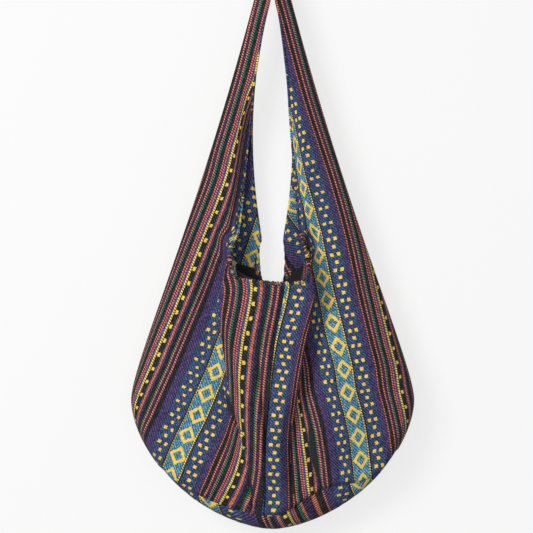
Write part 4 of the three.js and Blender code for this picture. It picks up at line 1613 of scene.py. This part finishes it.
@dataclass
class Stage:
    """Pale wall and floor, soft lamps and a long lens, in metres."""

    wall_depth: float = 0.05
    wall_reach: float = 2.5
    wall_colour: float = 0.93
    floor_drop: float = 1.0
    floor_colour: float = 0.9
    backdrop: float = 0.97
    ambient: float = 0.3
    glow: float = 0.8
    view_width: float = 0.757
    view_middle: Pair = (-0.0088, -0.418)
    distance: float = 3.0
    sensor: float = 36.0
    aim: tuple[float, float, float] = (0.0, 0.0, -0.4)
    lamps: tuple[tuple[str, tuple[float, float, float], float, float], ...] = (
        ("key", (-1.95, -3.0, 0.65), 1.5, 102.0),
        ("fill", (0.0, -3.6, -0.5), 2.4, 37.0),
        ("rear", (0.6, 2.4, 0.4), 1.6, 44.0),
    )

    def plane(self, name: str, corners: list[tuple[float, float, float]], colour: float) -> None:
        """Makes one pale surface that shows from its front only.

        Args:
            name: Name of the surface.
            corners: Its corners, counter-clockwise from the front.
            colour: How pale it is.
        """
        mesh = bpy.data.meshes.new(name)
        mesh.from_pydata(corners, [], [(0, 1, 2, 3)])
        made, n = new_material(f"{name}_paint")
        path = n.add("ShaderNodeLightPath").outputs
        seen = n.math("MAXIMUM", path["Is Camera Ray"], path["Is Glossy Ray"])
        seen = n.math("MAXIMUM", seen, path["Is Transmission Ray"])
        facing = n.math("SUBTRACT", 1.0, n.add("ShaderNodeNewGeometry").outputs["Backfacing"])
        paint, glow = (
            n.add(kind, {"Color": (colour, colour, colour, 1.0)})
            for kind in ("ShaderNodeBsdfDiffuse", "ShaderNodeEmission")
        )
        shown = n.add("ShaderNodeMixShader", {0: self.glow, 1: paint, 2: glow})
        clear = n.add("ShaderNodeBsdfTransparent")
        mix = n.add("ShaderNodeMixShader", {0: n.math("MULTIPLY", seen, facing), 1: clear, 2: shown})
        n.add("ShaderNodeOutputMaterial", {"Surface": mix})
        mesh.materials.append(made)
        placed(name, mesh)

    def world(self) -> None:
        """Makes a white backdrop and an even sky."""
        world = bpy.data.worlds.new("studio")
        world.use_nodes = True
        bpy.context.scene.world = world
        n = Nodes(world.node_tree)
        path = n.add("ShaderNodeLightPath").outputs
        seen = n.math("MAXIMUM", path["Is Camera Ray"], path["Is Transmission Ray"])
        sky, white = (
            n.add("ShaderNodeBackground", {"Color": (level, level, level, 1.0), "Strength": strength})
            for level, strength in ((1.0, self.ambient), (self.backdrop, 1.0))
        )
        mix = n.add("ShaderNodeMixShader", {0: seen, 1: sky, 2: white})
        n.add("ShaderNodeOutputWorld", {"Surface": mix})

    def camera(self) -> None:
        """Sets up the camera, square on to the wall."""
        data = bpy.data.cameras.new("camera")
        data.sensor_width = self.sensor
        data.lens = self.sensor * self.distance / self.view_width
        camera = placed("camera", data)
        camera.location = (self.view_middle[0], -self.distance, self.view_middle[1])
        camera.rotation_euler = (math.pi / 2, 0.0, 0.0)
        bpy.context.scene.camera = camera

    def light(self) -> None:
        """Hangs the soft square lamps, each by its place, the length of its side and its power in watts."""
        for name, place, size, power in self.lamps:
            data = bpy.data.lights.new(name, "AREA")
            data.size = size
            data.energy = power
            lamp = placed(name, data)
            lamp.location = place
            lamp.rotation_euler = (Vector(place) - Vector(self.aim)).to_track_quat("Z", "Y").to_euler()

    def build(self) -> None:
        """Builds the stage."""
        r, y, z = self.wall_reach, self.wall_depth, -self.floor_drop
        self.plane("wall", [(-r, y, z), (r, y, z), (r, y, r), (-r, y, r)], self.wall_colour)
        self.plane("floor", [(-r, -r, z), (r, -r, z), (r, r, z), (-r, r, z)], self.floor_colour)
        self.camera()
        self.world()
        self.light()


LEFT = Half("left", -1, 703.0)
RIGHT = Half("right", 1, 678.0)
LEFT_FRONT = Wall(
    half=LEFT,
    ridge_x=Run(
        ((250, -36), (310, -47), (389, -66), (451, -77), (480, -79), (549, -71), (613, -59), (711, -27))
    ),
    overlap=35.0,
    pleat_top=300.0,
    pleat_end=735.0,
    hollow=10.0,
    neck_corner=98.5,
    neck_curve=1.6,
    hem_slope=8.5,
    roll=Roll(
        line=Run(((100, 22), (180, 29.3), (284, 40.5), (320, 44), (350, 46.8), (380, 49), (420, 50.5))),
        width=19.0,
        depth=20.0,
        cloth=48.0,
    ),
    creases=(
        Run(((560, -78), (613, -60), (660, -38), (721, -30), (760, -27))),
        Run(((520, -20), (600, -14), (680, -8), (750, -4))),
    ),
)
LEFT_BACK = BackWall(
    half=LEFT,
    ridge_x=Run(((300, -12), (389, -27), (420, -42), (455, -57), (560, -50), (680, -28), (790, -16))),
    overlap=46.0,
    facing_slant=0.31,
)
LEFT_LAYOUT = Layout(
    half=LEFT,
    middle=189.8,
    line=Run(
        (
            (0, 104), (152, 69), (250, 41), (299, 29), (421, -13), (541, -55), (565, -63.5),
            (627, -89.5), (658, -106), (690, -122), (790, -168),
        )
    ),
    calm=Run(((-30, 121), (300, 29), (560, -60), (820, -175))),
    spread=Run(((-600, -624), (-84, -89), (-60, -61), (0, 0), (300, 300), (600, 600))),
    phase_at=565.3,
    seam_place=Run(((0, 315.7), (790, 315.7))),
    seam_lean=-0.12,
    seam_scale=Run(((380, 0.58), (420, 0.8), (455, 0.925), (790, 0.925))),
    seam_stretch=1.057,
    centre_phase=611.6,
    facing_at=(-27.5, 405.5),
    facing_place=189.8,
    facing_lean=-0.33,
)
RIGHT_FRONT = Wall(
    half=RIGHT,
    ridge_x=Run(
        ((250, 36), (323, 42), (389, 52), (441, 61), (466, 61), (521, 50), (593, 36), (689, 16), (790, 12))
    ),
    overlap=28.0,
    pleat_top=310.0,
    pleat_end=740.0,
    hollow=24.0,
    neck_corner=109.0,
    neck_curve=1.4,
    hem_slope=4.0,
    roll=Roll(
        line=Run(((100, 15), (180, 23.3), (284, 32.4), (320, 34.5), (350, 36.5), (380, 38.5), (420, 41))),
        width=17.0,
        depth=14.0,
        cloth=26.0,
    ),
    creases=(
        Run(((560, 44), (600, 34), (660, 21), (735, 30))),
        Run(((600, 46), (650, 53), (690, 59), (735, 71))),
    ),
)
RIGHT_BACK = BackWall(
    half=RIGHT,
    ridge_x=Run(((300, 10), (389, 22), (420, 36), (455, 50), (560, 44), (680, 22), (790, 12))),
    overlap=38.0,
    facing_slant=0.6,
)
RIGHT_LAYOUT = Layout(
    half=RIGHT,
    middle=189.8,
    line=Run(
        (
            (0, -55), (40, -44), (182, -6.5), (307, 32), (371, 48.5), (432, 60), (527, 76), (558, 82),
            (592, 86), (623, 94.6), (656, 103), (790, 127),
        )
    ),
    calm=Run(((-30, -63), (300, 29), (560, 80), (820, 131))),
    spread=Run(((-600, -660), (-80, -95), (-46, -54), (0, 0), (45, 49.3), (73, 83), (150, 168), (600, 663))),
    phase_at=306.6,
    seam_place=Run(((430, 19.9), (636, 27.5), (790, 28.0))),
    seam_lean=-0.15,
    seam_scale=Run(((380, 0.95), (790, 0.95))),
    seam_stretch=1.05,
    centre_phase=341.3,
    facing_at=(17.0, 420.5),
    facing_place=126.8,
    facing_lean=0.75,
)


def loose_yarn() -> Strand:
    """Returns the purple yarn end that stands out from the right neck edge."""
    line = np.array(
        [(30.5, -6, -214), (28.2, -7.5, -213), (26, -8.5, -215), (25.6, -9, -218), (27.4, -9.5, -221)]
    )
    still = np.zeros((len(line), 2))
    place = still + (144.0, 0.0) + np.arange(len(line))[:, None] * (0.0, 2.0)
    return Strand(line, np.zeros_like(line) + (0.0, -1.0, 0.0), place, still, (0.6, 0.6))


def main() -> None:
    """Builds the bag, its stage and its light."""
    logging.basicConfig(level=logging.INFO, format="%(name)s %(message)s")
    bpy.context.scene.view_settings.view_transform = "Standard"
    Stage().build()
    repeat = StripeRepeat()
    twist = twist_group(repeat)
    stripes = stripe_group(repeat)
    finishes = Finishes(
        woven=StripedFinish(WOVEN, stripes, twist).material(),
        # The facing is the same cloth painted 10% darker: painted shade for the inside seen through the
        # mouth.
        facing=StripedFinish(FACING, stripes, twist, level=0.9).material(),
        lining=LiningFinish(LINING, twist).material(),
        loops=loop_tree(),
    )
    left = HalfBag(LEFT_FRONT, LEFT_BACK, LEFT_LAYOUT, ridge_place=176.5, mouth_place=93.0)
    right = HalfBag(RIGHT_FRONT, RIGHT_BACK, RIGHT_LAYOUT, ridge_place=78.0, mouth_place=175.5)
    right.loose.append(loose_yarn())
    for pieces in (left, right, BasePieces(left, right)):
        pieces.build(finishes)


if __name__ == "__main__":
    main()
